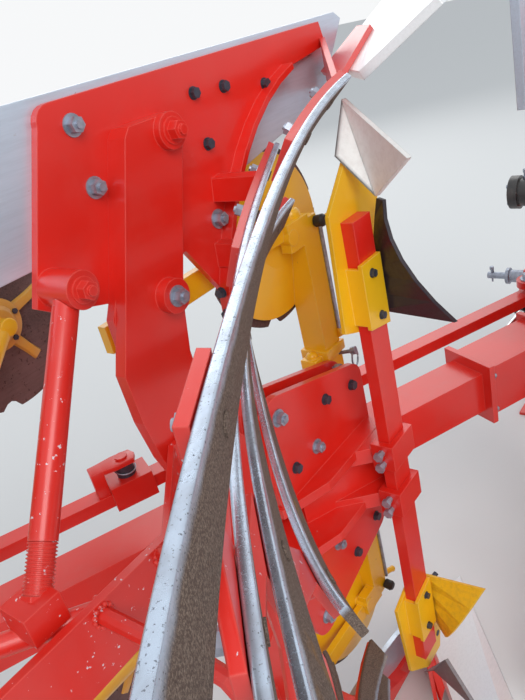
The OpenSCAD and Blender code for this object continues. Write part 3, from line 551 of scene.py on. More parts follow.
def head_tree(name, sides):
    """A head on a washer at each point, facing the point's own way, as wide as the point says."""
    tree, inputs, outputs = new_tree(
        name, [("Head height", 0.62), ("Washer size", 1.6), ("Stud length", 0.3)])
    height = inputs.outputs["Head height"]
    head = drum(tree, sides, HEXAGON_RADIUS if sides == 6 else ROUND_RADIUS, height, WASHER_HEIGHT)
    washer_radius = math_node(tree, "MULTIPLY", inputs.outputs["Washer size"], 0.5)
    washer = drum(tree, 20, washer_radius, WASHER_HEIGHT, 0.0)
    stud = drum(tree, 12, STUD_RADIUS, math_node(tree, "ADD", inputs.outputs["Stud length"], height), 0.0)
    join = node(tree, "GeometryNodeJoinGeometry")
    for part in (head, washer, stud):
        link(tree, part, join.inputs[0])
    facing = attribute(tree, "facing", "FLOAT_VECTOR")
    face = node(tree, "FunctionNodeAlignRotationToVector", {"Vector": facing}, axis="Z")
    spin = node(tree, "FunctionNodeRandomValue", {3: math.pi / 3, "Seed": 7}, data_type="FLOAT")
    turn = node(tree, "FunctionNodeAxisAngleToRotation", {"Axis": (0, 0, 1), "Angle": spin.outputs[1]})
    both = node(tree, "FunctionNodeRotateRotation", {0: face.outputs[0], 1: turn.outputs[0]},
                rotation_space="LOCAL")
    instances = node(tree, "GeometryNodeInstanceOnPoints", {
        "Points": inputs.outputs["Geometry"], "Instance": join.outputs[0], "Rotation": both.outputs[0],
        "Scale": attribute(tree, "width", "FLOAT")})
    end_tree(tree, inputs, outputs, instances.outputs[0], smooth=False)
    return tree


def bar_tree():
    """A flat bar with rounded corners along a line, its width lying along the line's own normals."""
    tree, inputs, outputs = new_tree("Bar", [("Width", 0.062), ("Thickness", 0.010), ("Corner", 0.0025)])
    width = inputs.outputs["Width"]
    line = node(tree, "GeometryNodeMeshToCurve", {0: inputs.outputs["Geometry"]})
    facing = attribute(tree, "facing", "FLOAT_VECTOR")
    faced = node(tree, "GeometryNodeSetCurveNormal", mode="FREE")
    link(tree, line.outputs[0], faced.inputs["Curve"])
    link(tree, facing, faced.inputs["Normal"])
    quad = node(tree, "GeometryNodeCurvePrimitiveQuadrilateral",
                {"Width": width, "Height": inputs.outputs["Thickness"]})
    fillet = node(tree, "GeometryNodeFilletCurve",
                  {"Count": 3, "Curve": quad.outputs[0], "Radius": inputs.outputs["Corner"]}, mode="POLY")
    apart = node(tree, "ShaderNodeSeparateXYZ", {0: node(tree, "GeometryNodeInputPosition").outputs[0]})
    ratio = math_node(tree, "DIVIDE", apart.outputs["X"], width)
    keep = node(tree, "GeometryNodeStoreNamedAttribute", {"Name": "across", "Geometry": fillet.outputs[0]},
                data_type="FLOAT")
    value = [entry for entry in keep.inputs if entry.name == "Value" and entry.enabled][0]
    link(tree, math_node(tree, "MULTIPLY", ratio, 2.0), value)
    body = node(tree, "GeometryNodeCurveToMesh",
                {"Fill Caps": True, "Curve": faced.outputs[0], "Profile Curve": keep.outputs[0]})
    end_tree(tree, inputs, outputs, body.outputs[0])
    return tree


def tread_tree():
    """Lugs round the wheel: one on each point, its length across the tyre, its top facing outwards."""
    tree, inputs, outputs = new_tree("Tread", [("Length", 0.09), ("Width", 0.022), ("Height", 0.012)])
    sizes = [inputs.outputs[key] for key in ("Length", "Width", "Height")]
    size = node(tree, "ShaderNodeCombineXYZ", dict(enumerate(sizes)))
    lug = node(tree, "GeometryNodeMeshCube", {"Size": size.outputs[0]})
    facing, lying = (attribute(tree, key, "FLOAT_VECTOR") for key in ("facing", "lying"))
    up = node(tree, "FunctionNodeAlignRotationToVector", {"Vector": facing}, axis="Z")
    lay = node(tree, "FunctionNodeAlignRotationToVector", {"Rotation": up.outputs[0], "Vector": lying},
               axis="X", pivot_axis="Z")
    instances = node(tree, "GeometryNodeInstanceOnPoints", {
        "Points": inputs.outputs["Geometry"], "Instance": lug.outputs["Mesh"], "Rotation": lay.outputs[0]})
    end_tree(tree, inputs, outputs, instances.outputs[0], smooth=False)
    return tree


TREES = {}


# Slats: four control points and two lean angles to a row, the same rule as the frame's slats, in millimetres
# from the station's pin, with heights from the sole
SLATS = [
    [[(-22, -212, -83.5), (-344, -288, -100), (-790, -526, -170), (-967, -653, -188)], (48.6, -13)],
    [[(-19, -54, -173), (-431, -272, -205), (-601, -353, -243), (-957, -719, -280)], (35, -2)],
    [[(-22, -63, -270), (-321, -127, -289), (-583, -355, -310), (-914, -704, -351)], (35, -24)],
    [[(-181, -30, -380), (-219, -75, -402), (-560, -341, -436), (-626, -479, -456)], (10, -20)]]
SLAT_STEPS = 14                # cells of the frame's slats
FINE_STEPS = 72                # steps of the smooth slats
STRAP_BACK = 20.3              # from a slat's face to the back of the strap behind it
TIE_BACK = 21.0                # and to the back of the tail's tie
TIE_CELL = (9, 11, 10, 12)
STRAPS_AT = (0.06, 0.2)        # shares of the way along a slat
BOLT_DOWN = 31                 # from a slat's upper edge to its bolts
SLAT_HEAD = 17
SLAT_NUT = 15


def unit(vector):
    return vector / np.linalg.norm(vector)


def cubic(points, at):
    start, after, before, end = np.array(points, float)
    rest = 1 - at
    return rest ** 3 * start + 3 * rest ** 2 * at * after + 3 * rest * at * at * before + at ** 3 * end


def slat_axes(row, at):
    """The slat's run, its back and its downward direction at a share of its length."""
    line, (first_lean, last_lean) = row
    run = unit(cubic(line, at + 0.01) - cubic(line, at - 0.01))
    lean = math.radians(first_lean + (last_lean - first_lean) * at)
    side = unit(np.array([-run[1], run[0], 0.0])) * (-1 if run[0] < 0 else 1)
    back = unit(side * math.cos(lean) + np.array([0, 0, math.sin(lean)]))
    down = unit(np.cross(back, run))
    return run, back, (-down if down[2] > 0 else down)


def slat_point(row, at, down_by, back_by):
    _, back, down = slat_axes(row, at)
    return cubic(row[0], at) + np.array([0, 0, SOLE]) + down * down_by + back * back_by


def in_row(station, point, side=1):
    """A point in a station's own millimetres, on the upper or the lower side, to the frame's metres."""
    pin = STATIONS[station]
    return Vector((pin.x + point[0] * MM, pin.y + point[1] * MM, pin.z + side * point[2] * MM))


def turned_over(vector, side):
    return Vector((vector[0], vector[1], vector[2] * side))


# Share: corners of its face that its bolts are placed between
SHARE_TIP = (523, -6, SOLE - 6)
SHARE_OUTER = (20, -208, SOLE - 97)
SHARE_INNER = (262, -6, SOLE - 104)
SHARE_BOLTS = ((0.12, 0.25), (0.12, 0.75), (0.42, 0.5))
SHARE_HEAD = 20


def share_point(forward, outward):
    """A point on the share's face: forward goes towards the tip, outward away from the landside."""
    inner, outer, tip = (np.array(corner, float) for corner in (SHARE_INNER, SHARE_OUTER, SHARE_TIP))
    near = inner * (1 - forward) + tip * forward
    far = outer * (1 - forward) + tip * forward
    return near * (1 - outward) + far * outward


# Fasteners at a station: x, y, z of the seat in millimetres and the width across the flats
FROG_FACE = -15.0
EAR_FACE = -65.3
SKIMMER_FACE = -135.2
STALK_FACE = -176.8
LANDSIDE_FACE = 11.0
LANDSIDE_HEAD = 22
LANDSIDE_ENDS = [(-560, 790), (-300, 790)]
FROG_NUTS = [(-394, FROG_FACE, 816, 19), (-391, FROG_FACE, 733, 19), (-174, FROG_FACE, 611, 20)]
FROG_BOLTS = [(-158, FROG_FACE, 805, 15), (-86, FROG_FACE, 800, 15), (21, FROG_FACE, 782, 15),
              (-154, FROG_FACE, 727, 15)]
LEG_NUTS = [(-353, -69, 559, 20)]
LEG_PAINTED = [(-268, -63, 773, 24), (-505, -77, 638, 22)]
EAR_NUTS = [(-116, EAR_FACE, 126, 19), (-205, EAR_FACE, 250, 21)]
EAR_BOLTS = [(-190, EAR_FACE, 128, 17), (36, EAR_FACE, 176, 17), (-60, EAR_FACE, 200, 17)]
SKIMMER_BOLTS = [(97, SKIMMER_FACE, 590, 15), (40, SKIMMER_FACE, 571, 13), (69, SKIMMER_FACE, 363, 12),
                 (4, STALK_FACE, 445, 13), (14, STALK_FACE, 358, 13)]
RIM_BOLTS = [(-219.5, -26, 501, 14), (-219.5, -26, 462, 14)]
FACING_OUT = (0, -1, 0)
FACING_IN = (0, 1, 0)
FACING_BACK = (-1, 0, 0)


def head_seeds(name, rows):
    """Points for heads: each row has a seat in metres, the way it faces and its width in metres."""
    seats, facing, width = zip(*rows)
    return seed_object(name, seats, facing=[tuple(way) for way in facing], width=width)


def heads(name, station, tables):
    """Seeds for heads at a station, each table with the way it faces, mirrored for the lower tools."""
    rows = []
    for side in SIDES:
        for table, way in tables:
            for x, y, z, flats in table:
                rows.append((in_row(station, (x, y, z), side), turned_over(way, side), flats * MM))
    return head_seeds(name, rows)


def slat_heads(name, station, front):
    """Plough bolts through the slats: flush heads on the face, or nuts on the straps behind."""
    rows = []
    for side in SIDES:
        for row, cell in zip(SLATS, TIE_CELL):
            tail = (cell + 0.5) / SLAT_STEPS
            for at, behind in [(strap, STRAP_BACK) for strap in STRAPS_AT] + [(tail, TIE_BACK)]:
                back = slat_axes(row, at)[1]
                seat = in_row(station, slat_point(row, at, BOLT_DOWN, -0.3 if front else behind), side)
                width = (SLAT_HEAD if front else SLAT_NUT) * MM
                rows.append((seat, turned_over(-back if front else back, side), width))
    return head_seeds(name, rows)


def plate_heads(name, station):
    """Flush plough-bolt heads on the landside and the share."""
    inner, outer, tip = (np.array(corner, float) for corner in (SHARE_INNER, SHARE_OUTER, SHARE_TIP))
    normal = unit(np.cross(outer - inner, tip - inner))
    normal = normal if normal[2] < 0 else -normal
    seats = [(bolt[0], bolt[2]) for bolt in FROG_NUTS[:2] + FROG_BOLTS] + LANDSIDE_ENDS
    rows = []
    for side in SIDES:
        for x, z in seats:
            seat = in_row(station, (x, LANDSIDE_FACE, z), side)
            rows.append((seat, turned_over(FACING_IN, side), LANDSIDE_HEAD * MM))
        for forward, outward in SHARE_BOLTS:
            seat = in_row(station, share_point(forward, outward), side)
            rows.append((seat, turned_over(normal, side), SHARE_HEAD * MM))
    return head_seeds(name, rows)


def slat_seed(station):
    points, edges, facing = [], [], []
    width, thick = SIZES.slat_width / MM, SIZES.slat_thickness / MM
    for side in SIDES:
        for row in SLATS:
            first = len(points)
            for i in range(FINE_STEPS + 1):
                at = i / FINE_STEPS
                points.append(in_row(station, slat_point(row, at, width / 2, thick / 2), side))
                facing.append(turned_over(slat_axes(row, at)[2], side))
                if i:
                    edges.append((first + i - 1, first + i))
    return seed_object("slats_%d_bars" % station, points, edges, facing=facing)


SIZES = None


class PloughSizes(bpy.types.PropertyGroup):
    """Sizes and colours that a user may change."""
    red: bpy.props.FloatVectorProperty(
        name="Red", description="Colour of the red paint", subtype="COLOR", size=3,
        default=(0.76, 0.018, 0.009))
    yellow: bpy.props.FloatVectorProperty(
        name="Yellow", description="Colour of the yellow paint", subtype="COLOR", size=3,
        default=(0.90, 0.52, 0.007))
    slat_width: bpy.props.FloatProperty(
        name="Slat width", description="Width of a slat", default=0.062, unit="LENGTH")
    slat_thickness: bpy.props.FloatProperty(
        name="Slat thickness", description="Thickness of a slat", default=0.010, unit="LENGTH")
    lug_height: bpy.props.FloatProperty(
        name="Lug height", description="Height of a lug of the tyre", default=0.012, unit="LENGTH")
    lug_count: bpy.props.IntProperty(
        name="Lugs", description="Lugs in each of the tyre's two rows", default=22)


CAD_FINISH = {
    "beam": "red", "width_rod": "red", "carrier": "red", "width_barrel": "black", "width_piston": "chrome",
    "headstock": "red", "link_pins": "zinc", "turnover_drive": "black", "stand": "red", "wheel_arm": "red",
    "wheel_rim": "white", "wheel_tyre": "tyre", "bracket": "red", "legs": "red", "frogs": "red",
    "landsides": "landside", "shares": "share", "slats": "slat", "stays": "red_scuffed", "stalk": "red",
    "skimmers": "yellow", "skim_boards": "skimmer", "coulter_arms": "yellow", "disc_top": "disc",
    "disc_low": "disc"}


class PLOUGH_OT_finishes(bpy.types.Operator):
    """Gives every solid of the frame its finish"""
    bl_idname = "plough.finishes"
    bl_label = "Finishes"

    def execute(self, context):
        for name, obj in frame["nodes"].items():
            key = name if name in CAD_FINISH else name.rsplit("_", 1)[0]
            obj.data.materials.clear()
            obj.data.materials.append(MATERIALS[CAD_FINISH[key]])
        return {"FINISHED"}


class PLOUGH_OT_slats(bpy.types.Operator):
    """Sweeps the smooth slats"""
    bl_idname = "plough.slats"
    bl_label = "Slats"

    def execute(self, context):
        for station in STATIONS:
            bars = grow(slat_seed(station), "bar", "slat", "station_%d" % station, "worn_steel",
                        Width=SIZES.slat_width, Thickness=SIZES.slat_thickness)
            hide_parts("slats_%d" % station)
        return {"FINISHED"}


class PLOUGH_OT_fasteners(bpy.types.Operator):
    """Sets nuts and bolts on the stations"""
    bl_idname = "plough.fasteners"
    bl_label = "Fasteners"

    def execute(self, context):
        flush = {"Head_height": 0.001, "Stud_length": 0.001, "Washer_size": 1.0}
        for station in STATIONS:
            body = "station_%d" % station
            nuts = heads(body + "_nuts", station, [(FROG_NUTS + LEG_NUTS + EAR_NUTS, FACING_OUT)])
            grow(nuts, "hexagon", "zinc", body, "pin_steel")
            painted = heads(body + "_painted_nuts", station, [(LEG_PAINTED, FACING_OUT)])
            grow(painted, "hexagon", "red_soft", body, "red_paint")
            bolts = heads(body + "_dark_bolts", station,
                          [(FROG_BOLTS + EAR_BOLTS + SKIMMER_BOLTS, FACING_OUT), (RIM_BOLTS, FACING_BACK)])
            grow(bolts, "hexagon", "dark_bolt", body, "pin_steel", Head_height=0.5, Stud_length=0.05,
                 Washer_size=1.35)
            behind = slat_heads(body + "_slat_nuts", station, False)
            grow(behind, "hexagon", "zinc", body, "pin_steel", Washer_size=1.35)
            in_front = slat_heads(body + "_slat_heads", station, True)
            grow(in_front, "round", "slat", body, "worn_steel", **flush)
            on_plates = plate_heads(body + "_plate_heads", station)
            grow(on_plates, "round", "share", body, "share_steel", **flush)
        return {"FINISHED"}


# Tail stay: its ends, its thread and the weld beads on its arm, in millimetres from the station's pin
STAY_FROM = Vector((-505, -45, SOLE - 222))
STAY_TO = Vector((-755, -150, SOLE - 494))
THREAD_START = 0.8             # as shares of the way along the stay
THREAD_END = 0.985
THREAD_PITCH = 4.2
THREAD_ROOT = 15.1
THREAD_CREST = 17.2
THREAD_TOOTH = [(0.6, THREAD_ROOT), (1.6, THREAD_CREST), (2.6, THREAD_CREST), (3.6, THREAD_ROOT)]
LOCK_NUT = [(0.012, 0.0), (0.012, 0.021), (0.019, 0.021), (0.019, 0.0)]
STAY_ARM_TOP = SOLE - 508
WELDED_TUBES = [((-706, -194.5, STAY_ARM_TOP - 18), 13), ((-606, -194.5, STAY_ARM_TOP - 17), 13),
                ((-700, -181.5, STAY_ARM_TOP - 18), 15)]
WELD_BEADS = 12


def stay_threads(station):
    """The stay's screw thread as close ridges, with its lock nut."""
    shape = Shape()
    for side in SIDES:
        start = in_row(station, STAY_FROM.lerp(STAY_TO, THREAD_START), side)
        end = in_row(station, STAY_FROM.lerp(STAY_TO, THREAD_END), side)
        length = (end - start).length / MM
        profile = [(0, THREAD_ROOT * MM)]
        for turn in range(int(length / THREAD_PITCH)):
            profile += [((turn * THREAD_PITCH + step) * MM, radius * MM) for step, radius in THREAD_TOOTH]
        profile.append((length * MM, THREAD_ROOT * MM))
        shape.turned(start, end, profile, 24)
        shape.turned(in_row(station, STAY_TO, side), end, LOCK_NUT, 6)
    body = "station_%d" % station
    new_piece(body + "_stay_threads", shape, "red_scuffed", body)


def stay_welds(station):
    """Weld beads round the tubes where they meet the stay's arm."""
    shape = Shape()
    random = np.random.default_rng(11)
    for side in SIDES:
        for (x, y, z), ring in WELDED_TUBES:
            for angle in turns(WELD_BEADS):
                bead = in_row(station, (x + ring * math.cos(angle), y, z + ring * math.sin(angle)), side)
                radius = (3.0 + 1.2 * random.random()) * MM
                profile = [(radius * along, radius * out)
                           for along, out in ((0, 0), (0.3, 0.75), (1, 1), (1.7, 0.75), (2, 0))]
                shape.turned(bead - Vector((0, radius, 0)), bead, profile, 7)
    body = "station_%d" % station
    new_piece(body + "_stay_welds", shape, "red_scuffed", body)


class PLOUGH_OT_stays(bpy.types.Operator):
    """Cuts the stays' threads and lays their weld beads"""
    bl_idname = "plough.stays"
    bl_label = "Tail stays"

    def execute(self, context):
        for station in STATIONS:
            stay_threads(station)
            stay_welds(station)
        return {"FINISHED"}


# Coulter discs and their hubs: places in millimetres from the station's pin, profiles in metres
REAR_STATION = 3               # its coulters stand ahead on long arms and are bare on both sides
DISC_AT = {1: (38, 74, 496), 2: (38, 74, 496), 3: (463, 74, 464)}
HUB_SEAT = 0.0116
HUB_RING = [(0, 0.030), (0, 0.054), (0.004, 0.054), (0.006, 0.040), (0.014, 0.034), (0.016, 0.030)]
HUB_CAP = [(0, 0.0), (0, 0.030), (0.018, 0.028), (0.024, 0.018), (0.025, 0.0)]
SPOKES = 5
SPOKE_TURN = 0.2               # as a share of the angle between two spokes
SPOKE_SECTIONS = [(0.046, 0.013, 0.009), (0.09, 0.011, 0.009), (0.118, 0.012, 0.004)]
HUB_BOLT = [(0, 0), (0, 0.006), (0.006, 0.006), (0.006, 0)]
HUB_BOLT_RING = 0.045
HUB_BOLT_SEAT = 0.0155
SPOKE_SEAT = 0.0026


def spoke(shape, foot, run, wide, out):
    """One tapered spoke: each section has its distance, its half width and its height."""
    rings = []
    for distance, half, height in SPOKE_SECTIONS:
        middle = foot + run * distance
        top = out * height
        rings.append([middle - wide * half, middle + wide * half, middle + wide * half * 0.7 + top,
                      middle - wide * half * 0.7 + top])
    shape.loft(rings)


def coulter_hub(station, side):
    """Hub cover on the disc: a ring, spokes and a bolted cap, on the sides that are free."""
    cover, bolts = Shape(), Shape()
    centre = in_row(station, DISC_AT[station], side)
    for way in SIDES if station == REAR_STATION else (1,):
        out = Vector((0, way, 0))
        seat = centre + out * HUB_SEAT
        cover.turned(seat, seat + out, HUB_RING, 36)
        if way == 1:
            cover.turned(seat, seat + out, HUB_CAP, 28)
        for i in range(SPOKES):
            angle = 2 * math.pi * (i + SPOKE_TURN) / SPOKES
            run = Vector((math.cos(angle), 0, math.sin(angle)))
            wide = Vector((-math.sin(angle), 0, math.cos(angle)))
            spoke(cover, centre + out * SPOKE_SEAT, run, wide, out)
            bolt = centre + out * HUB_BOLT_SEAT + run * HUB_BOLT_RING
            bolts.turned(bolt, bolt + out, HUB_BOLT, 6)
    body = "disc_%s_%d" % ("top" if side > 0 else "low", station)
    new_piece(body + "_hub", cover, "hub", body, 0.0006)
    new_piece(body + "_hub_bolts", bolts, "dark_bolt", body)


# Coulter stems: the stem's middle and half width, and what is clamped on it
STEM_X = 98
STEM_Y = 33
STEM_HALF = 28
COLLAR_LIP = 7                 # the collar at the stem's foot stands out this far
COLLAR_LOW = 205
COLLAR_HIGH = 228
RIB_OUT = 34                   # the rib beside the collar, down to the bracket
RIB_INSET = 8
RIB_LOW = 90
RIB_HIGH = 218
PEG_OFF = 16                   # the peg on the rib, from the stem's face
PEG_TOP = 232
PEG_HEAD = [(0, 0.0), (0.003, 0.010), (0.008, 0.013), (0.016, 0.013)]
DOME_OFF = 8                   # the domed boss over the disc's axle
DOME_LIFT = 19
DOME = [(0, 0.022), (0.018, 0.021), (0.026, 0.016), (0.029, 0.0)]
LEVER_LOW = 478
LEVER_HIGH = 500
LEVER = [(0, 0.009), (0.042, 0.007), (0.047, 0.009), (0.052, 0.006), (0.053, 0)]
KNOB = [(0, 0.0), (0.001, 0.012), (0.018, 0.013), (0.024, 0.009), (0.025, 0.0)]
LOCK_BAR_TOP = 486
LOCK_BAR_FOOT = 236
LOCK_BAR = [(0, 0.0), (0.002, 0.0045), (0.245, 0.0045), (0.247, 0.0)]
LOCK_EYE_AT = 246
LOCK_EYE = [(0, 0.011), (0.018, 0.011), (0.021, 0.006), (0.021, 0.0)]
REAR_CLAMP = (12, -156, 225)
REAR_CLAMP_HALF = 30
REAR_AXLE_END = 22
REAR_CLAMP_BOLT = [(0, 0), (0, 0.010), (0.008, 0.010), (0.008, 0)]
REAR_AXLE_CAP = [(0, 0.0), (0, 0.019), (0.006, 0.018), (0.008, 0.0)]


def stem_clamp(station, side, yellow, dark, steel):
    """Collar, rib, domed boss, lever, locking bar and ringed pins of an upright stem."""
    def at(x, y, z):
        return in_row(station, (x, y, z), side)

    left, right = STEM_X - STEM_HALF, STEM_X + STEM_HALF
    near, far = STEM_Y - STEM_HALF, STEM_Y + STEM_HALF
    peg, boss = left - PEG_OFF, left + DOME_OFF
    axle = DISC_AT[station][2]
    yellow.block(at(left - COLLAR_LIP, near - COLLAR_LIP, COLLAR_LOW),
                 at(right + COLLAR_LIP, far + COLLAR_LIP, COLLAR_HIGH))
    yellow.block(at(left - RIB_OUT, near + RIB_INSET, RIB_LOW), at(left + 1, far - RIB_INSET, RIB_HIGH))
    yellow.turned(at(peg, STEM_Y, PEG_TOP), at(peg, STEM_Y, RIB_LOW), PEG_HEAD, 18)
    yellow.turned(at(boss, STEM_Y, axle + DOME_LIFT), at(boss, STEM_Y, axle + 60), DOME, 24)
    yellow.turned(at(right - 2, near + 10, LEVER_LOW), at(right + 60, near - 4, LEVER_HIGH), LEVER, 16)
    dark.turned(at(right - 6, near - 1, LEVER_HIGH), at(right - 6, near - 30, LEVER_HIGH + 4), KNOB, 20)
    steel.turned(at(right + 6, 4, LOCK_BAR_TOP), at(right + 2, 2, LOCK_BAR_FOOT), LOCK_BAR, 12)
    yellow.turned(at(right - 4, 5, LOCK_EYE_AT), at(right + 16, -1, LOCK_EYE_AT), LOCK_EYE, 16)
    steel.lynch_pin(at(peg, near - 2, 196), (0.1, -1, 0.1), (0.2, 0, -side), 0.048)
    steel.lynch_pin(at(right - 8, near - 6, 200), (0.2, -1, 0.2), (0.1, 0, -side), 0.044)


def arm_clamp(station, side, yellow, dark):
    """Clamp bolts on the stalk and the axle's cap of a long arm."""
    def at(x, y, z):
        return in_row(station, (x, y, z), side)

    x, y, z = REAR_CLAMP
    for way in SIDES:
        bolt = x - way * REAR_CLAMP_HALF
        dark.turned(at(bolt, y - 26.5, z), at(bolt, y - 60, z), REAR_CLAMP_BOLT, 6)
    x, _, z = DISC_AT[station]
    yellow.turned(at(x, REAR_AXLE_END, z), at(x, -20, z), REAR_AXLE_CAP, 24)


def coulter_clamp(station):
    """Fittings of a station's coulter arms, above and below."""
    yellow, dark, steel = Shape(), Shape(), Shape()
    for side in SIDES:
        if station == REAR_STATION:
            arm_clamp(station, side, yellow, dark)
        else:
            stem_clamp(station, side, yellow, dark, steel)
    body = "station_%d" % station
    new_piece(body + "_coulter_clamp", yellow, "yellow", body, 0.002)
    new_piece(body + "_coulter_knob", dark, "knob", body)
    if steel.points:
        new_piece(body + "_coulter_pins", steel, "zinc", body)


class PLOUGH_OT_coulters(bpy.types.Operator):
    """Finishes the coulters with hubs, clamps, a lever and locking pins"""
    bl_idname = "plough.coulters"
    bl_label = "Coulters"

    def execute(self, context):
        for station in STATIONS:
            coulter_clamp(station)
            for side in SIDES:
                coulter_hub(station, side)
        return {"FINISHED"}


# Skimmers: places in millimetres from the station's pin, profiles in metres
STALK_X = 12
STALK_Y = -156
SET_SCREW_FROM = STALK_X - 44
SET_SCREW_TOWARDS = STALK_X - 90
SPACER_ENDS = ((43, -160, 372), (84, -170, 360))
SPACER = [(0, 0.009), (0.034, 0.009)]
SPACER_BOLT_ENDS = ((76, -168, 362), (110, -176, 353))
SPACER_BOLT = [(0, 0.006), (0.010, 0.006), (0.010, 0.0)]
SET_SCREW = [(0, 0), (0, 0.007), (0.012, 0.007), (0.012, 0.010), (0.020, 0.010), (0.020, 0)]
SET_SCREW_HEIGHTS = (45, 72)


def skimmer_trim(station):
    """Spacer tube and bolt from the holder to the board, and set screws on the stalk's holder."""
    yellow, dark, zinc = Shape(), Shape(), Shape()
    for side in SIDES:
        yellow.turned(*[in_row(station, end, side) for end in SPACER_ENDS], SPACER, 16)
        dark.turned(*[in_row(station, end, side) for end in SPACER_BOLT_ENDS], SPACER_BOLT, 12)
        for height in SET_SCREW_HEIGHTS:
            zinc.turned(in_row(station, (SET_SCREW_FROM, STALK_Y, height), side),
                        in_row(station, (SET_SCREW_TOWARDS, STALK_Y, height), side), SET_SCREW, 6)
    body = "station_%d" % station
    new_piece(body + "_skimmer_spacer", yellow, "yellow", body)
    new_piece(body + "_skimmer_bolt", dark, "dark_bolt", body)
    new_piece(body + "_stalk_screws", zinc, "zinc", body)


class PLOUGH_OT_skimmers(bpy.types.Operator):
    """Adds the skimmers' spacers and the stalks' set screws"""
    bl_idname = "plough.skimmers"
    bl_label = "Skimmers"

    def execute(self, context):
        for station in STATIONS:
            skimmer_trim(station)
        return {"FINISHED"}


# Beam and rod: distances along and across the beam from the middle station's pin, in millimetres
ALONG = Vector((math.cos(BEAM_ANGLE), -math.sin(BEAM_ANGLE), 0))
ACROSS = Vector((math.sin(BEAM_ANGLE), math.cos(BEAM_ANGLE), 0))
ROD_ACROSS = 200
ARM_ALONG = -100
CLEVIS_ALONG = -400
LUG_ALONG = 590
LUG_ACROSS = 125
LUG_HEIGHT = -34
LUG_HALF = 26.1
COLLARS_ALONG = {407: 1, 643: -1}      # each collar's place and the way its bolts face
COLLAR_FACE = 7.2
COLLAR_BOLT = (69, 45)                 # across and up from the beam's middle
SLEEVE_FOOT = 62.5
SLEEVE_TOP = 92
SLEEVE = [(0, 0.015), (0, 0.021), (0.030, 0.021), (0.030, 0.015)]
SLEEVE_RING = 0.0235
PLATE_OUTLINE = [(-70, -16), (-20, -24), (22, -22), (30, 0), (22, 22), (-20, 24), (-70, 16)]
WEB_OUTLINE = [(-76, -18), (-48, -20), (-48, 20), (-76, 18)]
ARM_TOP = 75


def on_beam(along, across, height):
    """A point along the beam and across it, in millimetres, to metres."""
    flat = ALONG * along + ACROSS * across
    return in_row(2, (flat.x, flat.y, height))


def at_clevis(height):
    return lambda along, across: on_beam(CLEVIS_ALONG + along, ROD_ACROSS + across, height)


def rows_of_heads(name, rows, body, **values):
    """Zinc-plated hexagon heads at rows as head_seeds takes them."""
    grow(head_seeds(name, rows), "hexagon", "zinc", body, "pin_steel", **values)


def rod_trim():
    """Sleeve, ring and top plate at the clevis of the rod."""
    sleeve, plate, wire = Shape(), Shape(), Shape()
    foot, top = at_clevis(SLEEVE_FOOT)(0, 0), at_clevis(SLEEVE_TOP)(0, 0)
    sleeve.turned(foot, top, SLEEVE, 28)
    middle = foot + (top - foot).normalized() * 0.016
    ring = [middle + Vector((math.cos(angle), math.sin(angle), 0.25 * math.sin(angle))) * SLEEVE_RING
            for angle in turns(30)[:29]]
    wire.bent(ring, 0.0016, 6)
    plate.prism(PLATE_OUTLINE, at_clevis(SLEEVE_TOP + 0.5), (0, 0, 0.012))
    plate.prism(WEB_OUTLINE, at_clevis(38), (0, 0, 0.066))
    new_piece("rod_clevis_plate", plate, "red", "width_rod", 0.0015)
    new_piece("rod_clevis_sleeve", sleeve, "dark_bolt", "width_rod")
    new_piece("rod_clevis_ring", wire, "zinc", "width_rod")


def beam_trim():
    """Bolts of the sleeve's collars, caps of the cylinder's front pin and nuts over the arms' pins."""
    up = Vector((0, 0, 1))
    rows = []
    for along, way in COLLARS_ALONG.items():
        for height in (-COLLAR_BOLT[1], COLLAR_BOLT[1]):
            for across in (-COLLAR_BOLT[0], COLLAR_BOLT[0]):
                rows.append((on_beam(along + way * COLLAR_FACE, across, height), ALONG * way, 0.010))
    rows_of_heads("beam_collar_bolts", rows, "beam")
    above = on_beam(LUG_ALONG, LUG_ACROSS, LUG_HEIGHT + LUG_HALF)
    below = on_beam(LUG_ALONG, LUG_ACROSS, LUG_HEIGHT - LUG_HALF)
    rows_of_heads("beam_cylinder_pin_caps", [(above, up, 0.022), (below, -up, 0.022)], "beam")
    arm = ALONG * ARM_ALONG + ACROSS * ROD_ACROSS
    for station in STATIONS:
        seat = in_row(station, (arm.x, arm.y, ARM_TOP))
        body = "station_%d" % station
        rows_of_heads(body + "_arm_pin", [(seat, up, 0.030)], body, Head_height=0.45)


# Turnover drive: bolt circle of its housing, corner bolts, and its cross tube, in metres
HOUSING_BOLTS = 8
HOUSING_CIRCLE = 0.100
CORNER_BOLTS = [(-0.088, -0.118), (0.088, -0.118), (-0.088, 0.142), (0.088, 0.142)]
TUBE_AHEAD = 0.090
TUBE_HEIGHT = 0.122
TUBE_HALF = 0.300
TUBE_CIRCLE = 0.044
TUBE_PORT = 0.245
TUBE_PORT_SEAT = 0.0495
PORT = [(0, 0.0), (0, 0.014), (0.010, 0.014), (0.010, 0.010), (0.022, 0.010), (0.022, 0.0125),
        (0.034, 0.0125), (0.034, 0.0)]


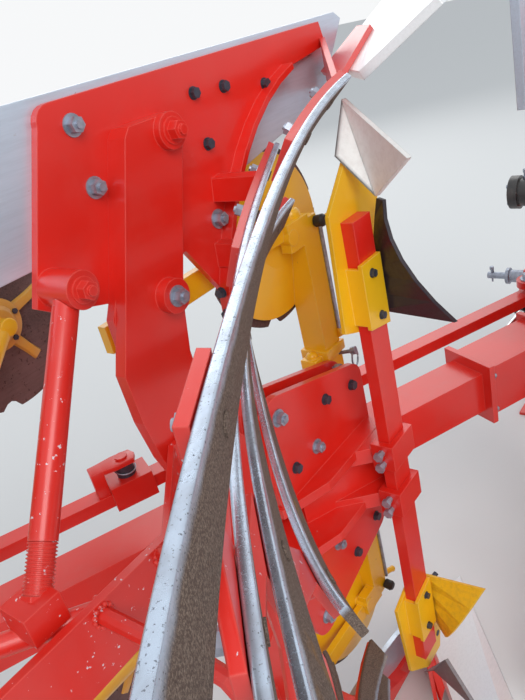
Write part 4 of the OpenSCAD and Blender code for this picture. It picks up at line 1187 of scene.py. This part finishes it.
def drive_trim():
    """Bolts of the turnover housing, caps and ports of its cross tube."""
    low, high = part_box("turnover_drive")
    middle, height = (low.y + high.y) / 2, SOLE * MM
    up = Vector((0, 0, 1))
    rows = []
    for i in range(HOUSING_BOLTS):
        angle = 2 * math.pi * (i + 0.5) / HOUSING_BOLTS
        off = Vector((0, HOUSING_CIRCLE * math.cos(angle), HOUSING_CIRCLE * math.sin(angle)))
        rows.append((Vector((low.x, middle, height)) + off, (-1, 0, 0), 0.014))
    for across, rise in CORNER_BOLTS:
        rows.append((Vector((high.x, middle + across, height + rise)), (1, 0, 0), 0.018))
    rows_of_heads("drive_bolts", rows, "headstock", Head_height=0.5)
    tube = Vector((low.x + TUBE_AHEAD, middle, height + TUBE_HEIGHT))
    rows = []
    ports = Shape()
    for way in (-1, 1):
        for i in range(4):
            angle = math.pi / 2 * (i + 0.5)
            off = Vector((TUBE_CIRCLE * math.cos(angle), way * TUBE_HALF, TUBE_CIRCLE * math.sin(angle)))
            rows.append((tube + off, (0, way, 0), 0.012))
        seat = tube + Vector((0, way * TUBE_PORT, TUBE_PORT_SEAT))
        ports.turned(seat, seat + up, PORT, 6)
    rows_of_heads("rack_cap_bolts", rows, "headstock", Head_height=0.5, Stud_length=0.05)
    new_piece("rack_ports", ports, "zinc", "headstock")


LINK_PIN_INSET = 0.017
STAND_PIN = Vector((-0.050, 0, 0.560))


def hitch_trim():
    """Lynch pins of the link pins, and the stand's locking pin."""
    low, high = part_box("link_pins")
    pins = Shape()
    x, z = (low.x + high.x) / 2, (low.z + high.z) / 2
    for y in (low.y + LINK_PIN_INSET, high.y - LINK_PIN_INSET):
        pins.lynch_pin((x, y, z), (0, 0, 1), (0.25, 0, -1), 0.052)
    low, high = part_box("stand")
    stand = Vector(((low.x + high.x) / 2, (low.y + high.y) / 2, 0))
    pins.lynch_pin(stand + STAND_PIN, (0, 0.15, 1), (-0.5, 0, -1), 0.050)
    new_piece("hitch_lynch_pins", pins, "zinc", "headstock")


BARREL_RADIUS = 0.0275
BARREL_PORTS = (0.062, 0.312)
BARREL_PORT = [(0, 0), (0, 0.012), (0.008, 0.012), (0.008, 0.009), (0.016, 0.009), (0.016, 0.0105),
               (0.024, 0.0105), (0.024, 0.0)]


def cylinder_trim():
    """Ports of the width cylinder."""
    start = Vector(JOINTS["width_barrel_swing"]["pos_m"])
    far = on_beam(LUG_ALONG, LUG_ACROSS, LUG_HEIGHT)
    run = Vector((far.x - start.x, far.y - start.y, 0)).normalized()
    ports = Shape()
    for distance in BARREL_PORTS:
        seat = Vector((start.x, start.y, far.z)) + run * distance + Vector((0, 0, BARREL_RADIUS))
        ports.turned(seat, seat + Vector((0, 0, 1)), BARREL_PORT, 6)
    new_piece("width_cylinder_ports", ports, "zinc", "width_barrel")


class PLOUGH_OT_machine(bpy.types.Operator):
    """Adds bolts, pins, caps and ports to the beam, the rod, the cylinder and the headstock"""
    bl_idname = "plough.machine"
    bl_label = "Beam and headstock"

    def execute(self, context):
        for step in (rod_trim, beam_trim, drive_trim, hitch_trim, cylinder_trim):
            step()
        return {"FINISHED"}


# Wheel: sizes in metres
TYRE_STEPS = 96
BEAD_HALF = 0.070
BEAD_GAP = 0.0004
SHOULDER_DROP = 0.045
LUG_SEAT = 0.0095
LUG_ACROSS_HALF = 0.050
LUG_LEAN = 0.55
STUDS = 6
STUD_CIRCLE = 0.072
STUD_SEAT = -0.0065
VALVE_AT = (0.118, -0.004, 0.03)
VALVE = [(0, 0), (0, 0.004), (0.030, 0.004), (0.031, 0.0055), (0.038, 0.005), (0.038, 0)]


def tyre_half(half, radius, rim):
    """The section from the bead to the middle groove: distance from the middle, and radius."""
    return [(BEAD_HALF, rim + BEAD_GAP), (half * 0.86, rim + 0.018), (half * 0.97, rim + 0.042),
            (half, radius - 0.070), (half * 0.985, radius - SHOULDER_DROP), (half * 0.93, radius - 0.026),
            (half * 0.80, radius - 0.015), (half * 0.5, radius - 0.0105), (0.012, radius - 0.010),
            (0.010, radius - 0.014)]


def tyre_carcass(centre, half, radius, rim):
    """The tyre's carcass as a turned ring, with a groove between its sidewall and its crown."""
    one = tyre_half(half, radius, rim)
    profile = [(-y, out) for y, out in one] + one[::-1]
    rings = [[centre + Vector((out * math.cos(angle), y, out * math.sin(angle))) for y, out in profile]
             for angle in turns(TYRE_STEPS)]
    shape = Shape()
    shape.loft(rings + [rings[0]], False)
    return shape


def tyre_lugs(centre, radius):
    """Seats of the lugs: two rows that lean away from the middle, set half a step apart."""
    points, facing, lying = [], [], []
    for row in SIDES:
        for i in range(SIZES.lug_count):
            angle = 2 * math.pi * (i + (0.5 if row < 0 else 0)) / SIZES.lug_count
            out = Vector((math.cos(angle), 0, math.sin(angle)))
            around = Vector((-math.sin(angle), 0, math.cos(angle)))
            lean = (out * -0.06 + Vector((0, row, 0)) + around * LUG_LEAN).normalized()
            points.append(centre + out * (radius - LUG_SEAT) + lean * LUG_ACROSS_HALF)
            facing.append(out + Vector((0, row, 0)) * 0.10)
            lying.append(lean)
    return seed_object("tyre_lugs", points, facing=facing, lying=lying)


class PLOUGH_OT_wheel(bpy.types.Operator):
    """Dresses the depth wheel with a lugged tyre, nuts and a valve"""
    bl_idname = "plough.wheel"
    bl_label = "Depth wheel"

    def execute(self, context):
        low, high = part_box("wheel_tyre")
        centre = (low + high) / 2
        half, radius = (high.y - low.y) / 2, (high.x - low.x) / 2
        rim_low, rim_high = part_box("wheel_rim")
        carcass = tyre_carcass(centre, half - 0.001, radius, (rim_high.x - rim_low.x) / 2)
        tyre = new_piece("tyre", carcass, "tyre", "depth_wheel")
        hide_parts("wheel_tyre")
        grow(tyre_lugs(centre, radius), "tread", "tyre", "depth_wheel", "tyre_rubber",
             Height=SIZES.lug_height)
        rows = []
        for angle in turns(STUDS):
            seat = Vector((STUD_CIRCLE * math.cos(angle), STUD_SEAT, STUD_CIRCLE * math.sin(angle)))
            rows.append((centre + seat, (0, -1, 0), 0.019))
        rows_of_heads("wheel_nuts", rows, "depth_wheel")
        valve = Shape()
        seat = centre + Vector(VALVE_AT)
        valve.turned(seat, seat + Vector((0.25, -1, 0)), VALVE, 12)
        new_piece("wheel_valve", valve, "dark_bolt", "depth_wheel")
        return {"FINISHED"}


# Camera, worked out from the photograph: its place from the middle station's pin, its turns, its focal length
CAMERA_FROM_PIN = Vector((-0.97, -0.77, 0.89))
CAMERA_HEADING = math.radians(42.5)
CAMERA_ROLL = math.radians(14.0)
FOCAL_PIXELS = 680.0
HORIZON_PIXELS = 328.0         # how far the horizon lies above the picture's middle
CAMERA_DIP = math.atan(HORIZON_PIXELS / FOCAL_PIXELS)
PICTURE_HEIGHT = 700
SENSOR = 36.0


def place_camera():
    """The photograph's camera: dipped below the horizon and rolled to one side."""
    flat = Vector((math.cos(CAMERA_HEADING), math.sin(CAMERA_HEADING), 0))
    level = Vector((flat.y, -flat.x, 0))
    ahead = flat * math.cos(CAMERA_DIP) - Vector((0, 0, math.sin(CAMERA_DIP)))
    above = level.cross(ahead)
    right = level * math.cos(CAMERA_ROLL) - above * math.sin(CAMERA_ROLL)
    up = level * math.sin(CAMERA_ROLL) + above * math.cos(CAMERA_ROLL)
    cam = bpy.data.objects.new("Camera", bpy.data.cameras.new("Camera"))
    turn = Matrix((right, up, -ahead)).transposed().to_4x4()
    cam.matrix_world = Matrix.Translation(STATIONS[2] + CAMERA_FROM_PIN) @ turn
    cam.data.sensor_width = SENSOR
    cam.data.lens = FOCAL_PIXELS / PICTURE_HEIGHT * SENSOR
    cam.data.clip_start = 0.01
    cam.data.clip_end = 200.0
    bpy.context.scene.collection.objects.link(cam)
    bpy.context.scene.camera = cam


FLOOR_HALF = 40


def build_floor():
    mesh = bpy.data.meshes.new("floor")
    corners = [(x * FLOOR_HALF, y * FLOOR_HALF, 0) for x, y in ((-1, -1), (1, -1), (1, 1), (-1, 1))]
    mesh.from_pydata(corners, [], [(0, 1, 2, 3)])
    ground = bpy.data.objects.new("floor", mesh)
    bpy.context.scene.collection.objects.link(ground)
    material, _, surface, _ = blank_material("Pale floor")
    surface.inputs["Base Color"].default_value = (0.74, 0.74, 0.73, 1)
    surface.inputs["Roughness"].default_value = 0.9
    mesh.materials.append(material)


def build_world():
    """Soft light from all round, and a pale background for the camera and for reflections."""
    world = bpy.data.worlds.new("Studio")
    world.use_nodes = True
    bpy.context.scene.world = world
    tree = world.node_tree
    soft = tree.nodes["Background"]
    apart = node(tree, "ShaderNodeSeparateXYZ", {0: node(tree, "ShaderNodeTexCoord").outputs["Generated"]})
    sky = mixed(tree, ramp(tree, apart.outputs["Z"], -0.1, 0.75), (0.66, 0.66, 0.66), (0.86, 0.93, 1.0))
    link(tree, sky, soft.inputs["Color"])
    soft.inputs["Strength"].default_value = 0.72
    pale = node(tree, "ShaderNodeBackground", {"Color": (0.93, 0.94, 0.95, 1)})
    path = node(tree, "ShaderNodeLightPath")
    seen = math_node(tree, "MAXIMUM", path.outputs["Is Camera Ray"], path.outputs["Is Glossy Ray"])
    seen = math_node(tree, "MAXIMUM", seen, path.outputs["Is Transmission Ray"])
    mix = node(tree, "ShaderNodeMixShader", {0: seen, 1: soft.outputs[0], 2: pale.outputs[0]})
    link(tree, mix.outputs[0], tree.nodes["World Output"].inputs[0])


LAMPS = {"key": ((-4.0, -5.5, 6.5), 420.0, 5.0), "fill": ((5.5, 4.5, 5.0), 150.0, 6.0)}
AIM = Vector((0, 0, 0.9))


def build_lamps():
    """A key and a fill light, both turned towards the machine's middle."""
    for name, (place, power, size) in LAMPS.items():
        lamp = bpy.data.lights.new(name, "AREA")
        lamp.energy = power
        lamp.size = size
        holder = bpy.data.objects.new(name, lamp)
        holder.location = place
        holder.rotation_euler = (AIM - Vector(place)).to_track_quat("-Z", "Y").to_euler()
        bpy.context.scene.collection.objects.link(holder)


class PLOUGH_OT_stage(bpy.types.Operator):
    """Sets the floor, the lights and the camera"""
    bl_idname = "plough.stage"
    bl_label = "Stage"

    def execute(self, context):
        place_camera()
        build_floor()
        build_world()
        build_lamps()
        context.scene.view_settings.view_transform = "Standard"
        return {"FINISHED"}


STEPS = (PLOUGH_OT_finishes, PLOUGH_OT_slats, PLOUGH_OT_fasteners, PLOUGH_OT_stays, PLOUGH_OT_coulters,
         PLOUGH_OT_skimmers, PLOUGH_OT_machine, PLOUGH_OT_wheel, PLOUGH_OT_stage)


class PLOUGH_PT_panel(bpy.types.Panel):
    """Lists the steps that dress the plough"""
    bl_idname = "PLOUGH_PT_panel"
    bl_label = "Plough"
    bl_space_type = "VIEW_3D"
    bl_region_type = "UI"
    bl_category = "Plough"

    def draw(self, context):
        for key in PloughSizes.__annotations__:
            self.layout.prop(context.scene.plough_sizes, key)
        for step in STEPS:
            self.layout.operator(step.bl_idname)


CLASSES = (PloughSizes, *STEPS, PLOUGH_PT_panel)


def register():
    for each in CLASSES:
        bpy.utils.register_class(each)
    bpy.types.Scene.plough_sizes = bpy.props.PointerProperty(type=PloughSizes)


def unregister():
    del bpy.types.Scene.plough_sizes
    for each in reversed(CLASSES):
        bpy.utils.unregister_class(each)


def main():
    global SIZES
    register()
    SIZES = bpy.context.scene.plough_sizes
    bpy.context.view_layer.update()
    build_materials(SIZES)
    TREES.update(hexagon=head_tree("Hexagon heads", 6), round=head_tree("Round heads", 20), bar=bar_tree(),
                 tread=tread_tree())
    for step in STEPS:
        group, name = step.bl_idname.split(".")
        getattr(getattr(bpy.ops, group), name)()


if __name__ == "__main__":
    main()
